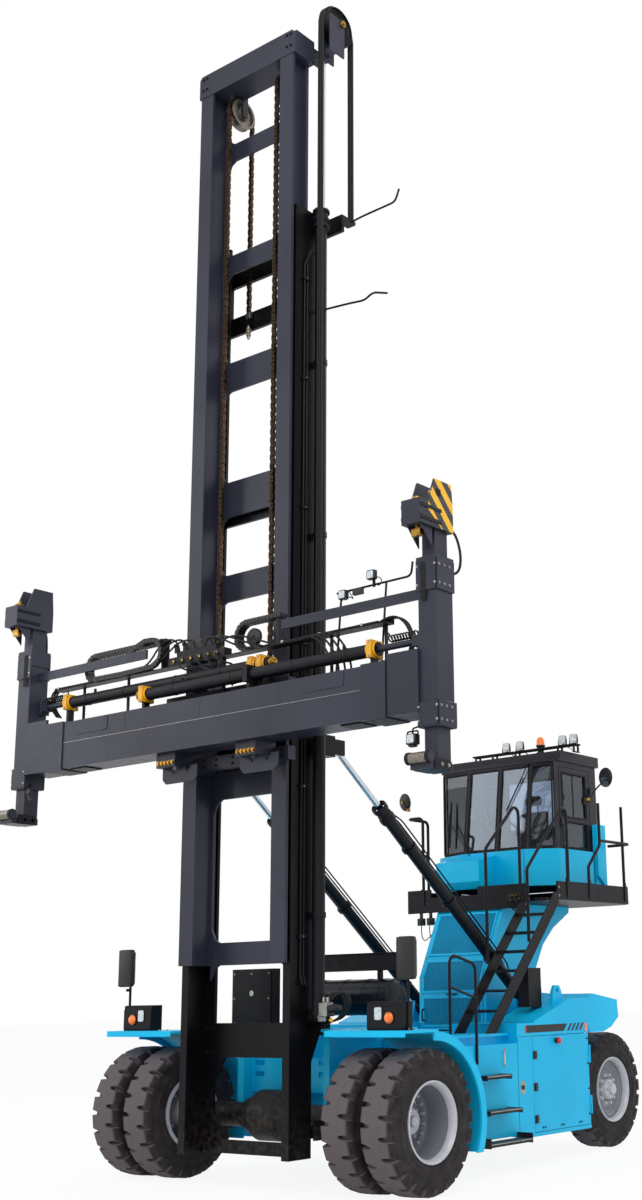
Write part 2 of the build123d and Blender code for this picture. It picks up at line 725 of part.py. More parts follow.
with BuildPart() as seat:
    block(-seat_w / 2, seat_w / 2, wheelbase - 150, wheelbase + 300, cab_floor_z + 290, cab_floor_z + 430)
    prism_x([(wheelbase + 230, cab_floor_z + 380), (wheelbase + 310, cab_floor_z + 1010),
             (wheelbase + 400, cab_floor_z + 1010),
             (wheelbase + 350, cab_floor_z + 380)], -seat_w / 2 + 20, seat_w / 2 - 20)
    block(-140, 140, wheelbase + 300, wheelbase + 400, cab_floor_z + 1000, cab_floor_z + 1230)
save(seat, "seat")

with BuildPart() as seat_base:
    block(-190, 190, wheelbase - 80, wheelbase + 260, cab_floor_z + seat_gap, cab_floor_z + 290 - seat_gap)
    for s in (-1, 1):
        block(s * (seat_w / 2 + 20), s * (seat_w / 2 + 90), wheelbase - 120, wheelbase + 220,
              cab_floor_z + 520,
              cab_floor_z + 580)
        block(s * (seat_w / 2 + 20), s * (seat_w / 2 + 60), wheelbase + 60, wheelbase + 160,
              cab_floor_z + seat_gap,
              cab_floor_z + 530)
    prism_x([(wheelbase - 560, cab_floor_z + seat_gap), (wheelbase - 480, cab_floor_z + 640),
             (wheelbase - 400, cab_floor_z + 640),
             (wheelbase - 400, cab_floor_z + seat_gap)], -120, 120)
    with Locations(Plane(origin=(0, axle_y + wheelbase - 400, cab_floor_z + 700), z_dir=(0, 0.5, 1))):
        Torus(wheel_ring_r, 14)
        Box(2 * wheel_ring_r, 30, 16)
        Cylinder(28, 130, align=(Align.CENTER, Align.CENTER, Align.MAX))
save(seat_base, "cab_controls")

stair_foot_z = deck_top_z + seat_gap
stair_foot_y = platform_front_y - 1560
stair_head_y = platform_front_y - 80
stair_slope = (deck_z + 60 - stair_foot_z) / (stair_head_y - stair_foot_y)


def stair_edge(y):
    return stair_foot_z + (y + rail_r - stair_foot_y) * stair_slope + seat_gap


with BuildPart() as stairs:
    end = platform_front_y - seat_gap
    for x0 in (stair_x, stair_x + stair_w - stringer_t):
        prism_x([(stair_foot_y, stair_foot_z), (stair_foot_y + 200, stair_foot_z),
                 (end, stair_foot_z + (end - stair_foot_y - 200) * stair_slope), (end, deck_z + 60),
                 (stair_head_y, deck_z + 60)], x0, x0 + stringer_t)
    for i in range(tread_count):
        t = (i + 1) / (tread_count + 1)
        y = stair_foot_y + 100 + (stair_head_y - stair_foot_y) * t
        z = stair_foot_z + (deck_z - stair_foot_z) * t
        block(stair_x + 10, stair_x + stair_w - 10, y - tread_w / 2, y + tread_w / 2, z, z + tread_t)
save(stairs, "stairs")

with BuildPart() as handrails:
    toe_z = deck_z + toe_h + seat_gap
    rail_x = walk_x - toe_t / 2
    top = deck_z + 1210
    mid = deck_z + 740
    back_y = platform_rear_y - toe_t / 2
    tube([(rail_x, platform_front_y + 230, toe_z), (rail_x, platform_front_y + 230, deck_z + 400),
          (rail_x, platform_front_y + 520, mid - 60), (rail_x, platform_front_y + 520,
                                                       top), (rail_x, back_y, top),
          (cab_half + 110, back_y, top), (cab_half + 110, back_y, toe_z)], rail_r, 70)
    tube([(rail_x, platform_front_y + 520, mid), (rail_x, back_y, mid), (cab_half + 110, back_y, mid)],
         rail_r, 70)
    tube([(rail_x, platform_front_y + 740, toe_z), (rail_x, platform_front_y + 740, deck_z + 400),
          (rail_x, platform_front_y + 1030, mid - 60), (rail_x, platform_front_y + 1030, top)], rail_r, 70)
    bar((rail_x, back_y - 180, toe_z), (rail_x, back_y - 180, top), rail_r)
    for x, high_y, high_z, low_y, low_z in ((stair_x + stringer_t / 2, -170,
                                             stair_edge(platform_front_y - 170), -880, 540),
                                            (stair_x + stair_w - stringer_t / 2, 240, toe_z, -655, 295)):
        y = platform_front_y + low_y
        tube([(x, platform_front_y + high_y, high_z), (x, platform_front_y + high_y, deck_z + 1180),
              (x, y, deck_z + low_z), (x, y, stair_edge(y))], rail_r, 80)
    x = -base_x + toe_t / 2
    y = platform_front_y + toe_t / 2
    tube([(-700, y, toe_z), (-700, y, deck_z + 1110), (x, y, deck_z + 1110), (x, y + 420, deck_z + 1110),
          (x, y + 420, toe_z)], rail_r, 70)
    tube([(-700, y, deck_z + 660), (x, y, deck_z + 660), (x, y + 420, deck_z + 660)], rail_r, 70)
save(handrails, "handrails")

with BuildPart() as side_fittings:
    for y0, y1, depth, z in ((1490, 1950, 170, 960), (1490, 2090, 200, 610), (1490, 2270, 200, 290)):
        block(side_x + seat_gap, side_x + depth, y0, y1, z, z + 24)
        for y in (y0, y1 - 12):
            block(side_x + seat_gap, side_x + depth, y, y + 12, z - 10, max(z, box_low_z) + 40)
    x = side_x + hoop_r + seat_gap
    tube([(x, 1070, step_top_z - 150), (x, 1070, 2250), (x, 1530, 2140), (x, 1530, 1110)], hoop_r, 90)
    bar((x, 1070, 1910), (x, 1530, 1790), hoop_r - 2)
    block(1110, 1250, wheelbase - 1780, wheelbase - 1520,
          locker_top_z + 15 + 470 * wing_slope + 2 * seat_gap, 2110)
save(side_fittings, "side_fittings")

with BuildPart() as front_fittings:
    bar((-tank_half + tank_shift, tank_y, tank_z), (tank_half + tank_shift, tank_y, tank_z), tank_r)
    for s in (-1, 1):
        x = s * (rail_in + rail_w / 2)
        block(x - 30, x + 30, tank_y - 110, tank_y + 110, rail_top_z + seat_gap, tank_z - tank_r / 2)
        block(x - 30, x + 30, tank_y - 15, tank_y + 15, tank_z + tank_r - 20, tank_z + tank_r + 100)
    block(-tank_half, tank_half + 2 * tank_shift, tank_y - 15, tank_y + 15, tank_z + tank_r + 90,
          tank_z + tank_r + 280)
    block(-930, -330, 300, 420, fender_z + seat_gap, 2140)
    for s in (-1, 1):
        block(s * 1520, s * 1950, -330, -180, fender_z + seat_gap, fender_z + 260)
        bar((s * 1960, -250, fender_z + seat_gap), (s * 1960, -250, fender_z + 520), 14)
        tube([(s * 1960, -250, fender_z + 505), (s * 2010, -265, fender_z + 560),
              (s * 2010, -265, fender_z + 640)], 12, 30)
        block(s * 1880, s * 2080, -325, -277 - seat_gap, fender_z + 470, fender_z + 860)
save(front_fittings, "front_fittings")

with BuildPart() as outer_mast:
    for s in (-1, 1):
        block(s * (mast_half - side_wall), s * mast_half, outer_front_y, outer_rear_y, outer_low_z,
              outer_top_z)
        block(s * (mast_half - side_wall - front_lip_w), s * (mast_half - side_wall), outer_front_y,
              outer_front_y + lip_t,
              outer_low_z, outer_top_z)
        block(s * (mast_half - side_wall - rear_lip_w), s * (mast_half - side_wall), outer_rear_y - lip_t,
              outer_rear_y,
              outer_low_z, outer_top_z)
        block(s * (mast_half - side_wall - front_lip_w), s * (mast_half - side_wall),
              inner_front_y + column_t + seat_gap,
              outer_front_y, outer_top_z - 260, outer_top_z)
        block(s * (mast_half - side_wall), s * mast_half, outer_rear_y, mast_foot[0] + 60, mast_foot[1] - 60,
              mast_foot[1] + 60)
        block(s * (mast_half - side_wall), s * mast_half, outer_rear_y, -90, outer_top_z - 1030,
              outer_top_z - 150)
        block(s * 700, s * mast_half, outer_rear_y, tilt_top[0] - 95, tilt_top[1] - 110, tilt_top[1] + 110)
        block(s * (tilt_x - fork_half - fork_t), s * (tilt_x + fork_half + fork_t), -200, tilt_top[0] - 95,
              tilt_top[1] - 110, tilt_top[1] + 110)
        for x0 in (tilt_x - fork_half - fork_t, tilt_x + fork_half):
            block(s * x0, s * (x0 + fork_t), tilt_top[0] - 100, tilt_top[0] + 60, tilt_top[1] - 80,
                  tilt_top[1] + 80)
        bar((s * (tilt_x - fork_half - fork_t), *tilt_top), (s * (tilt_x + fork_half + fork_t), *tilt_top),
            tilt_pin_r)
        block(s * mast_half, s * (lift_x + 72), lift_y - 75, lift_y + 75, lift_foot_z - 34, lift_foot_z)
        prism_y([(s * (mast_half - 5), lift_foot_z - 30), (s * (lift_x + 60), lift_foot_z - 30),
                 (s * (mast_half - 5), lift_foot_z - 430)], lift_y - 14, lift_y + 14)
        prism_y([(s * 560, 440), (s * 400, 440), (s * 560, 690)], outer_rear_y - lip_t, outer_rear_y)
        prism_y([(s * 560, 1260), (s * 400, 1260), (s * 560, 1010)], outer_rear_y - lip_t, outer_rear_y)
    block(mast_half - side_wall, hose_x + 60, -110, -70, outer_top_z - 210, outer_top_z - seat_gap)
    block(hose_x - 60, hose_x + 60, -110, hose_y + hose_wheel_r + 30, outer_top_z - 40,
          outer_top_z - seat_gap)
    for z0, z1 in ((outer_low_z, outer_low_z + 130), (1250, 1590), (4200, 4500), (7000, 7250)):
        block(-mast_half + side_wall, mast_half - side_wall, outer_rear_y - lip_t, outer_rear_y, z0, z1)
    for z0, z1 in ((outer_top_z - 1030, outer_top_z - 800), (outer_top_z - 400, outer_top_z - 150)):
        block(-mast_half + side_wall, mast_half - side_wall, -130, -90, z0, z1)
    for s in (-1, 1):
        block(s * (chain_x - 35), s * (chain_x + 35), -190, -125, anchor_z - 90, anchor_z - seat_gap)
        bar((s * 700, *mast_foot), (s * 770, *mast_foot), foot_pin_r + seat_gap, mode=Mode.SUBTRACT)
save(outer_mast, "outer_mast")

with BuildPart() as lift_barrels:
    for s in (-1, 1):
        foot = lift_foot_z + seat_gap
        bar((s * lift_x, lift_y, foot), (s * lift_x, lift_y, outer_top_z - lift_head_h), lift_barrel_r)
        bar((s * lift_x, lift_y, outer_top_z - lift_head_h), (s * lift_x, lift_y, outer_top_z), lift_head_r)
        bar((s * lift_x, lift_y, foot + 60), (s * lift_x, lift_y, outer_top_z + 10), lift_bore_r,
            mode=Mode.SUBTRACT)
        bar((s * lift_x, lift_y, outer_top_z - 60), (s * lift_x, lift_y, outer_top_z), lift_head_r)
        bar((s * lift_x, lift_y, outer_top_z - 70), (s * lift_x, lift_y, outer_top_z + 10),
            lift_rod_r + seat_gap,
            mode=Mode.SUBTRACT)
save(lift_barrels, "lift_barrels")

with BuildPart() as inner_mast:
    for s in (-1, 1):
        block(s * column_in, s * (column_in + column_w), inner_front_y, inner_front_y + column_t,
              inner_low_z, inner_top_z)
        block(s * web_x, s * (web_x + column_t), inner_front_y + column_t - 5, rear_flange_y - 5,
              inner_low_z, inner_top_z)
        block(s * (column_in + 10), s * rear_flange_x, rear_flange_y - column_t, rear_flange_y, inner_low_z,
              inner_top_z)
        block(s * (web_x - 20), s * (web_x + 70), rear_flange_y - 5, outer_rear_y - lip_t - seat_gap,
              inner_low_z,
              inner_low_z + 260)
        block(s * 740, s * 780, inner_front_y + 30, -340, beam_low_z + 55, beam_top_z)
        block(s * 740, s * (lift_x + 60), lift_y - 70, lift_y + 70, beam_low_z + 30, beam_low_z + 120)
        block(s * 740, s * 780, -345, lift_y + 60, beam_low_z + 30, beam_top_z - 80)
        block(s * (chain_x - 75), s * (chain_x - 60), -400, -320, sheave_z - 60, beam_low_z + 10)
        block(s * (chain_x + 60), s * (chain_x + 75), -400, -320, sheave_z - 60, beam_low_z + 10)
        bar((s * (chain_x - 80), sheave_y, sheave_z), (s * (chain_x + 80), sheave_y, sheave_z), 30)
    prism_y([(-780, beam_low_z + 60), (-740, beam_low_z + 20), (740, beam_low_z + 20), (780, beam_low_z + 60),
             (780, beam_top_z - 40), (740, beam_top_z), (-740, beam_top_z), (-780, beam_top_z - 40)],
            inner_front_y - 6, inner_front_y + 34)
    block(-780, 780, inner_front_y - 6, -340, beam_low_z - 5, beam_low_z + 60)
    for z0, z1 in ((inner_low_z, inner_low_z + 230), (inner_low_z + 1730, inner_low_z + 2030),
                   (inner_low_z + 3920, inner_low_z + 4230), (inner_low_z + 4910, inner_low_z + 5330),
                   (inner_top_z - 3820, inner_top_z - 3460), (inner_top_z - 2320, inner_top_z - 2080),
                   (inner_top_z - 820, inner_top_z - 590)):
        block(-column_in - 15, column_in + 15, rear_flange_y - column_t + 6, rear_flange_y - 6, z0, z1)
        for s in (-1, 1):
            for z, step in ((z0, -150), (z1, 150)):
                prism_y([(s * (column_in + 15), z - step / 5), (s * (column_in - 160), z - step / 5),
                         (s * (column_in - 40), z + step / 4),
                         (s * (column_in + 15), z + step)], rear_flange_y - column_t + 6, rear_flange_y - 6)
    bar((lift_x + 5, hose_y, hose_z), (lift_x + 90 + hose_wheel_w + 40, hose_y, hose_z), 30)
    for x0 in (lift_x + 5, lift_x + 96 + hose_wheel_w):
        block(x0, x0 + 20, lift_y - 60, hose_y + 40, beam_low_z + 60 if x0 < 900 else beam_low_z + 90,
              hose_z + 40)
    block(lift_x, lift_x + 116 + hose_wheel_w, lift_y - 60, lift_y + 50, beam_low_z + 80, beam_low_z + 118)
save(inner_mast, "inner_mast")

with BuildPart() as lift_rods:
    for s in (-1, 1):
        bar((s * lift_x, lift_y, lift_foot_z + 1850), (s * lift_x, lift_y, beam_low_z + 30 - seat_gap),
            lift_rod_r)
save(lift_rods, "lift_rods")

with BuildPart() as sheaves:
    for s in (-1, 1):
        a, b = s * (chain_x - sheave_w / 2), s * (chain_x + sheave_w / 2)
        lip = s * 12
        ring_x([(a, 30 + seat_gap), (a, sheave_r + 16), (a + lip, sheave_r + 16), (a + lip, sheave_r),
                (b - lip, sheave_r),
                (b - lip, sheave_r + 16), (b, sheave_r + 16), (b, 30 + seat_gap)], sheave_y, sheave_z)
    for x in (lift_x + 46, lift_x + 46 + hose_wheel_w / 2 + 2):
        w = hose_wheel_w / 2 - 2
        ring_x([(x, 30 + seat_gap), (x, hose_wheel_r), (x + 6, hose_wheel_r), (x + 10, hose_wheel_r - 26),
                (x + w - 10, hose_wheel_r - 26), (x + w - 6,
                                                  hose_wheel_r), (x + w, hose_wheel_r), (x + w, 30 + seat_gap)],
               hose_y, hose_z)
save(sheaves, "sheaves")

with BuildPart() as chains_front:
    for s in (-1, 1):
        y = sheave_y - sheave_r - chain_t / 2 - seat_gap
        block(s * (chain_x - chain_w / 2), s * (chain_x + chain_w / 2), y - chain_t / 2, y + chain_t / 2,
              carriage_top_z + 100 + seat_gap, sheave_z)
save(chains_front, "chains_front")

with BuildPart() as chains_rear:
    for s in (-1, 1):
        y = sheave_y + sheave_r + chain_t / 2 + seat_gap
        block(s * (chain_x - chain_w / 2), s * (chain_x + chain_w / 2), y - chain_t / 2, y + chain_t / 2,
              anchor_z, sheave_z)
save(chains_rear, "chains_rear")

with BuildPart() as hoses_front:
    for i in (-1, 0, 1):
        bar((hose_x + i * hose_pitch, hose_y - hose_wheel_r - hose_r, carriage_top_z - 40 + seat_gap),
            (hose_x + i * hose_pitch, hose_y - hose_wheel_r - hose_r, hose_z), hose_r)
save(hoses_front, "hoses_front")

with BuildPart() as hoses_rear:
    for i in (-1, 0, 1):
        bar((hose_x + i * hose_pitch, hose_y + hose_wheel_r + hose_r, outer_top_z),
            (hose_x + i * hose_pitch, hose_y + hose_wheel_r + hose_r, hose_z), hose_r)
save(hoses_rear, "hoses_rear")

with BuildPart() as carriage:
    roller_y = (inner_front_y + column_t + rear_flange_y - column_t) / 2
    roller_r = (rear_flange_y - column_t - inner_front_y - column_t) / 2 - seat_gap
    front = tube_rear_y + seat_gap
    for s in (-1, 1):
        block(s * carriage_plate_x, s * (carriage_plate_x + 45), front + 40, roller_y + 60, carriage_low_z,
              carriage_top_z + 60)
        block(s * (chain_x - 60), s * (carriage_plate_x + 10), front + 60, roller_y - 20, carriage_top_z - 60,
              carriage_top_z + 100)
        for z in (carriage_low_z + 150, carriage_top_z - 120):
            bar((s * carriage_plate_x, roller_y, z), (s * (web_x - slide_gap), roller_y, z), roller_r)
        block(s * 440, s * 720, tube_front_y + 80, front + 10, tube_low_z - 130, tube_low_z - seat_gap)
        block(s * 440, s * 720, tube_front_y + 290, front - seat_gap, tube_top_z + seat_gap, tube_top_z + 80)
    for z0, z1 in ((carriage_low_z, carriage_low_z + 140), (carriage_top_z - 140, carriage_top_z)):
        block(-carriage_half, carriage_half, front, front + 110, z0, z1)
    block(carriage_half - 60, hose_x + 60, front + 50, hose_y - hose_wheel_r + 5, carriage_top_z - 90,
          carriage_top_z - 40)
save(carriage, "carriage")

with BuildPart() as spreader_tube:
    block(-tube_half, tube_half, tube_front_y, tube_rear_y, tube_low_z, tube_top_z)
    block(-tube_half - 10, tube_half + 10, tube_front_y + tube_wall, tube_rear_y - tube_wall,
          tube_low_z + tube_wall,
          tube_top_z - tube_wall, mode=Mode.SUBTRACT)
    for s in (-1, 1):
        block(s * (tube_half - 300), s * tube_half, tube_front_y - 14, tube_front_y + 5, tube_low_z - 14,
              tube_top_z + 14)
        block(s * (tube_half - 300), s * tube_half, tube_front_y - 14, tube_rear_y, tube_low_z - 14,
              tube_low_z + 5)
        block(s * (tube_half - 300), s * tube_half, tube_front_y - 14, tube_rear_y, tube_top_z - 5,
              tube_top_z + 14)
        block(s * (tube_half - 60), s * tube_half, tube_front_y + tube_wall - 2, tube_rear_y - tube_wall + 2,
              tube_low_z + tube_wall - 2, tube_low_z + tube_wall + slide_gap - seat_gap)
save(spreader_tube, "spreader_tube")

with BuildPart() as spreader_gear:
    floor = tube_top_z + 14 + seat_gap
    for y, z, x0, x1, clamps in ((*push_a, -2400, 800, (-2340, 560, 690)),
                                 (*push_b, -1040, 2290, (-960, 600, 2230))):
        bar((x0, y, z), (x1, y, z), barrel_r)
        for x in clamps:
            block(x - 30, x + 30, y - barrel_r - 22, y + barrel_r + 22, z - barrel_r - 22, z + barrel_r + 22)
            block(x - 18, x + 18, y - 40, y + 40,
                  floor if abs(x) > tube_half - 300 else tube_top_z + seat_gap,
                  z - barrel_r)
    for y, z in (push_a, push_b):
        bar((-tube_half, y, z), (tube_half, y, z), rod_r + seat_gap, mode=Mode.SUBTRACT)
    block(-2640, 2300, tray_y - 60, tray_y + 70, tray_z, tray_z + 8)
    block(-2640, 2300, tray_y + 62, tray_y + 70, tray_z, tray_z + 50)
    for x in (-2250, -1500, 0, 1500, 2200):
        block(x - 15, x + 15, tube_rear_y - 30, tube_rear_y - 12,
              floor if abs(x) > tube_half - 300 else tube_top_z + seat_gap,
              tray_z + 4)
    for x0, x1 in ((-2120, -800), (250, 900)):
        for low, high in ((tray_z + 8, tray_z + 48), (tray_z + loop_h - 40, tray_z + loop_h)):
            block(x0 + 150, x1 - (0 if high > tray_z + 100 else 300), tray_y - loop_w / 2,
                  tray_y + loop_w / 2, low, high)
        with BuildSketch(Plane.XZ.offset(-(axle_y + tray_y - loop_w / 2))) as bend:
            with Locations((x0 + 170, tray_z + 8 + (loop_h - 8) / 2)):
                Circle((loop_h - 8) / 2)
                Circle((loop_h - 8) / 2 - 40, mode=Mode.SUBTRACT)
                Rectangle(loop_h, loop_h, align=(Align.MIN, Align.CENTER), mode=Mode.SUBTRACT)
        extrude(bend.sketch, amount=-loop_w)
        block(x1 - 60, x1 - 20, tray_y - 40, tray_y + 40, tray_z + 4, tray_z + loop_h - 10)
    tube([(1500, tray_y + 150, tray_z + 470), (2450, tray_y + 150, tray_z + 480),
          (2470, tray_y + 150, tray_z + 620)], 11, 60)
    for x in (1560, 2140):
        bar((x, tray_y + 150, tray_z + 470 + (x - 1500) / 95),
            (x, tube_rear_y - 30, tube_top_z + 4 * seat_gap), 11)
    for x, z in ((1620, 380), (1990, 520)):
        block(x - 45, x + 45, tray_y + 90, tray_y + 135, tray_z + z, tray_z + z + 90)
        block(x - 12, x + 12, tray_y + 130, tray_y + 150, tray_z + min(z, 450), tray_z + max(z + 40, 480))
save(spreader_gear, "spreader_gear")

for side, s in sides:
    with BuildPart() as arm:
        y0 = tube_front_y + tube_wall + slide_gap if s > 0 else tube_rear_y - tube_wall - slide_gap - beam_w
        y1 = y0 + beam_w
        z0 = tube_low_z + tube_wall + slide_gap
        z1 = tube_top_z - tube_wall - slide_gap
        root = arm_travel - tube_half + 1716
        head = leg_x - sleeve_w / 2
        block(s * -root, s * (head + 10), y0, y1, z0, z1)
        block(s * -(root + 10), s * head, y0 + beam_wall, y1 - beam_wall, z0 + beam_wall, z1 - beam_wall,
              mode=Mode.SUBTRACT)
        block(s * (tube_half + slide_gap), s * (head + 5), tube_front_y, tube_rear_y, tube_low_z - 5,
              tube_top_z + 70)
        block(s * (tube_half + slide_gap - 5), s * (head - 60), tube_front_y + 30, tube_rear_y - 30,
              tube_top_z + 5,
              tube_top_z + 80, mode=Mode.SUBTRACT)
        block(s * head, s * (head + sleeve_w), leg_y - sleeve_d / 2, leg_y + sleeve_d / 2, sleeve_low_z,
              sleeve_top_z)
        for a, b in ((sleeve_low_z, sleeve_low_z + 150), (sleeve_top_z - 180, sleeve_top_z)):
            block(s * (head - 12), s * (head + sleeve_w + 12), leg_y - sleeve_d / 2 - 12,
                  leg_y + sleeve_d / 2 + 12, a, b)
        block(s * (head + leg_wall), s * (head + sleeve_w - leg_wall), leg_y - sleeve_d / 2 + leg_wall,
              leg_y + sleeve_d / 2 - leg_wall, sleeve_low_z - 10, sleeve_top_z + 10, mode=Mode.SUBTRACT)
        for a, b in ((sleeve_low_z, sleeve_low_z + 120), (sleeve_top_z - 120, sleeve_top_z)):
            for x0, x1 in ((head + leg_wall - 2, head + leg_wall + slide_gap - seat_gap),
                           (head + sleeve_w - leg_wall - slide_gap + seat_gap,
                            head + sleeve_w - leg_wall + 2)):
                block(s * x0, s * x1, leg_y - 70, leg_y + 70, a, b)
        block(s * (tube_half - 40), s * tube_half, y0 - slide_gap + seat_gap, y0 + 5, z0 + 60, z1 - 60)
        block(s * 1000, s * (head + 10), tie_y - 12, tie_y + 12, tie_z, tie_z + tie_h)
        y, z = push_b if s > 0 else push_a
        inner = -760 if s > 0 else -640
        bar((s * inner, y, z), (s * (head + 10), y, z), rod_r)
        block(s * (head - 120), s * (head + 10), y - 50, y + 50, z - 50, z + 50)
    save(arm, "arm_" + side)
    with BuildPart() as leg:
        w = sleeve_w / 2 - leg_wall - slide_gap
        d = sleeve_d / 2 - leg_wall - slide_gap
        block(s * (leg_x - w), s * (leg_x + w), leg_y - d, leg_y + d, leg_low_z, leg_top_z)
        block(s * (leg_x - head_half), s * (leg_x + head_half), lock_y - 100, leg_y + 150, leg_top_z,
              leg_top_z + head_t)
        guard_y = leg_y - sleeve_d / 2 - 12 - slide_gap
        for x0 in (-82, 70):
            prism_x([(guard_y, leg_top_z + 5), (lock_y - 60, leg_top_z + 5), (guard_y, leg_top_z - 180)],
                    s * leg_x + x0, s * leg_x + x0 + 12)
        for x0 in (-head_half, head_half - 20):
            prism_x([(lock_y + 30, leg_top_z + head_t - 5), (lock_y + 130, leg_top_z + head_t + 240),
                     (leg_y + 130, leg_top_z + head_t + 240), (leg_y + 150, leg_top_z + head_t - 5)],
                    s * leg_x + x0, s * leg_x + x0 + 20)
        with Locations((s * leg_x, axle_y + lock_y, leg_top_z + head_t / 2)):
            Cylinder(lock_r + seat_gap, head_t + 120, mode=Mode.SUBTRACT)
        block(s * (leg_x - head_half), s * (leg_x + head_half), lock_y - 10, leg_y + 80, leg_low_z - 70,
              leg_low_z)
        bar((s * leg_x - head_half - 25, lock_y - 20, leg_low_z + 30),
            (s * leg_x + head_half + 25, lock_y - 20, leg_low_z + 30),
            foot_roller_r)
    save(leg, "leg_" + side)
    with BuildPart() as twistlock:
        with Locations((s * leg_x, axle_y + lock_y, leg_top_z + head_t / 2 - 30)):
            Cylinder(lock_r, head_t + 100)
        with Locations((s * leg_x, axle_y + lock_y, leg_top_z + head_t + seat_gap + 20)):
            Cylinder(lock_r + 20, 40)
        with Locations((s * leg_x, axle_y + lock_y, leg_top_z - 30 - head_h / 2)):
            Box(head_l, head_w, head_h)
    save(twistlock, "twistlock_" + side)
    low = Vector(s * tilt_x, tilt_low[0], tilt_low[1])
    high = Vector(s * tilt_x, tilt_top[0], tilt_top[1])
    along = (high - low).normalized()
    total = (high - low).length
    neck = low + along * (total - tilt_show)
    with BuildPart() as tilt_barrel:
        bar(tuple(low), tuple(low + along * (tilt_neck + 20)), fork_half - slide_gap)
        bar(tuple(low + along * tilt_neck), tuple(neck), tilt_barrel_r)
        bar(tuple(neck - along * 120), tuple(neck), tilt_barrel_r + 12)
        bar(tuple(low + along * (tilt_neck + 60)), tuple(neck - along * 60), tilt_rod_r + 12,
            mode=Mode.SUBTRACT)
        bar(tuple(neck - along * 70), tuple(neck + along * 10), tilt_rod_r + seat_gap, mode=Mode.SUBTRACT)
        bar((s * (tilt_x - fork_half + seat_gap), *tilt_low),
            (s * (tilt_x + fork_half - seat_gap), *tilt_low), tilt_eye_r)
        bar((s * (tilt_x - tilt_barrel_r - 2), *tilt_low), (s * (tilt_x + tilt_barrel_r + 2), *tilt_low),
            tilt_pin_r + seat_gap,
            mode=Mode.SUBTRACT)
    save(tilt_barrel, "tilt_barrel_" + side)
    with BuildPart() as tilt_rod:
        bar(tuple(neck - along * tilt_inside), tuple(high), tilt_rod_r)
        bar((s * (tilt_x - fork_half + seat_gap), *tilt_top),
            (s * (tilt_x + fork_half - seat_gap), *tilt_top), tilt_eye_r)
        bar((s * (tilt_x - 60), *tilt_top), (s * (tilt_x + 60), *tilt_top), tilt_hole_r, mode=Mode.SUBTRACT)
    save(tilt_rod, "tilt_rod_" + side)

with BuildPart() as lamps:
    bar_z = cab_top_z + roof_box_h + 90
    block(-650, 1000, cab_front_y + 560, cab_front_y + 590, bar_z, bar_z + 20)
    block(-650, 1000, cab_front_y + 660, cab_front_y + 690, bar_z, bar_z + 20)
    for x in (-560, -380, 0, 350, 700, 880):
        block(x - 15, x + 15, cab_front_y + 560, cab_front_y + 690, cab_top_z + roof_box_h + seat_gap,
              bar_z + 5)
    for x in (-100, 120, 790, 960):
        block(x - 55, x + 55, cab_front_y + 565, cab_front_y + 605, bar_z + 30, bar_z + 150)
        block(x - 10, x + 10, cab_front_y + 570, cab_front_y + 590, bar_z + 10, bar_z + 40)
    bar((420, cab_front_y + 625, bar_z - 10), (420, cab_front_y + 625, bar_z + 40), 50)
    bar((420, cab_front_y + 625, bar_z + 30), (420, cab_front_y + 625, bar_z + 150), 42)
    block(350, 490, cab_front_y + 560, cab_front_y + 690, bar_z, bar_z + 12)
save(lamps, "roof_lamps")
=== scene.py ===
import math
import bmesh
import bpy
import numpy as np
from mathutils import Matrix, Vector


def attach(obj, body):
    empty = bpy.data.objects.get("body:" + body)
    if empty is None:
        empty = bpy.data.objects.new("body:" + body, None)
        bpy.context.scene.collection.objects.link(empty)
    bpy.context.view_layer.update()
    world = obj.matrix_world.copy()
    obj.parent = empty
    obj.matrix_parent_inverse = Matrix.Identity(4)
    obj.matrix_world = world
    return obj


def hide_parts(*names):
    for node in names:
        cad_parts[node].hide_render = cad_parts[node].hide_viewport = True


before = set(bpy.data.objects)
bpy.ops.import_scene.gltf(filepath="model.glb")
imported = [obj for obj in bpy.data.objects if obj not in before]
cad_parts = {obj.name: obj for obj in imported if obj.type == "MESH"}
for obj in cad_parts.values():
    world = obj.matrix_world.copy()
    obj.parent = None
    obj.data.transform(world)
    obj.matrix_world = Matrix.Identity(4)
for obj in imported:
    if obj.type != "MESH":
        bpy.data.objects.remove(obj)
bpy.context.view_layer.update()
axleY = -1.971  # the front axle in the frame; every y below is measured from it
print("frame loaded:", len(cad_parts), "nodes")


# camera

shot = {
    "place": (10.814, -13.401, 1.849), "yaw": 36.35, "pitch": 14.474, "roll": -1.148,
    "focalPixels": 1452.04, "centrePixels": (453.8, 617.8), "imagePixels": (642, 1200)}


def setCamera():
    yaw, pitch, roll = (math.radians(shot[k]) for k in ("yaw", "pitch", "roll"))
    ahead = Vector((-math.sin(yaw) * math.cos(pitch), math.cos(yaw) * math.cos(pitch), math.sin(pitch)))
    right = Vector((math.cos(yaw), math.sin(yaw), 0))
    up = right.cross(ahead)
    right, up = math.cos(roll) * right + math.sin(roll) * up, math.cos(roll) * up - math.sin(roll) * right
    lens = bpy.data.cameras.new("photoCamera")
    wide, high = shot["imagePixels"]
    lens.sensor_width = 36
    lens.lens = lens.sensor_width * shot["focalPixels"] / high
    lens.shift_x = (wide / 2 - shot["centrePixels"][0]) / high
    lens.shift_y = (shot["centrePixels"][1] - high / 2) / high
    lens.clip_end = 200
    camera = bpy.data.objects.new("photoCamera", lens)
    turn = Matrix((right, up, -ahead)).transposed().to_4x4()
    camera.matrix_world = Matrix.Translation(shot["place"]) @ turn
    bpy.context.scene.collection.objects.link(camera)
    bpy.context.scene.camera = camera


setCamera()


# mesh helpers: every piece is drawn in machine sizes, then shifted to the frame

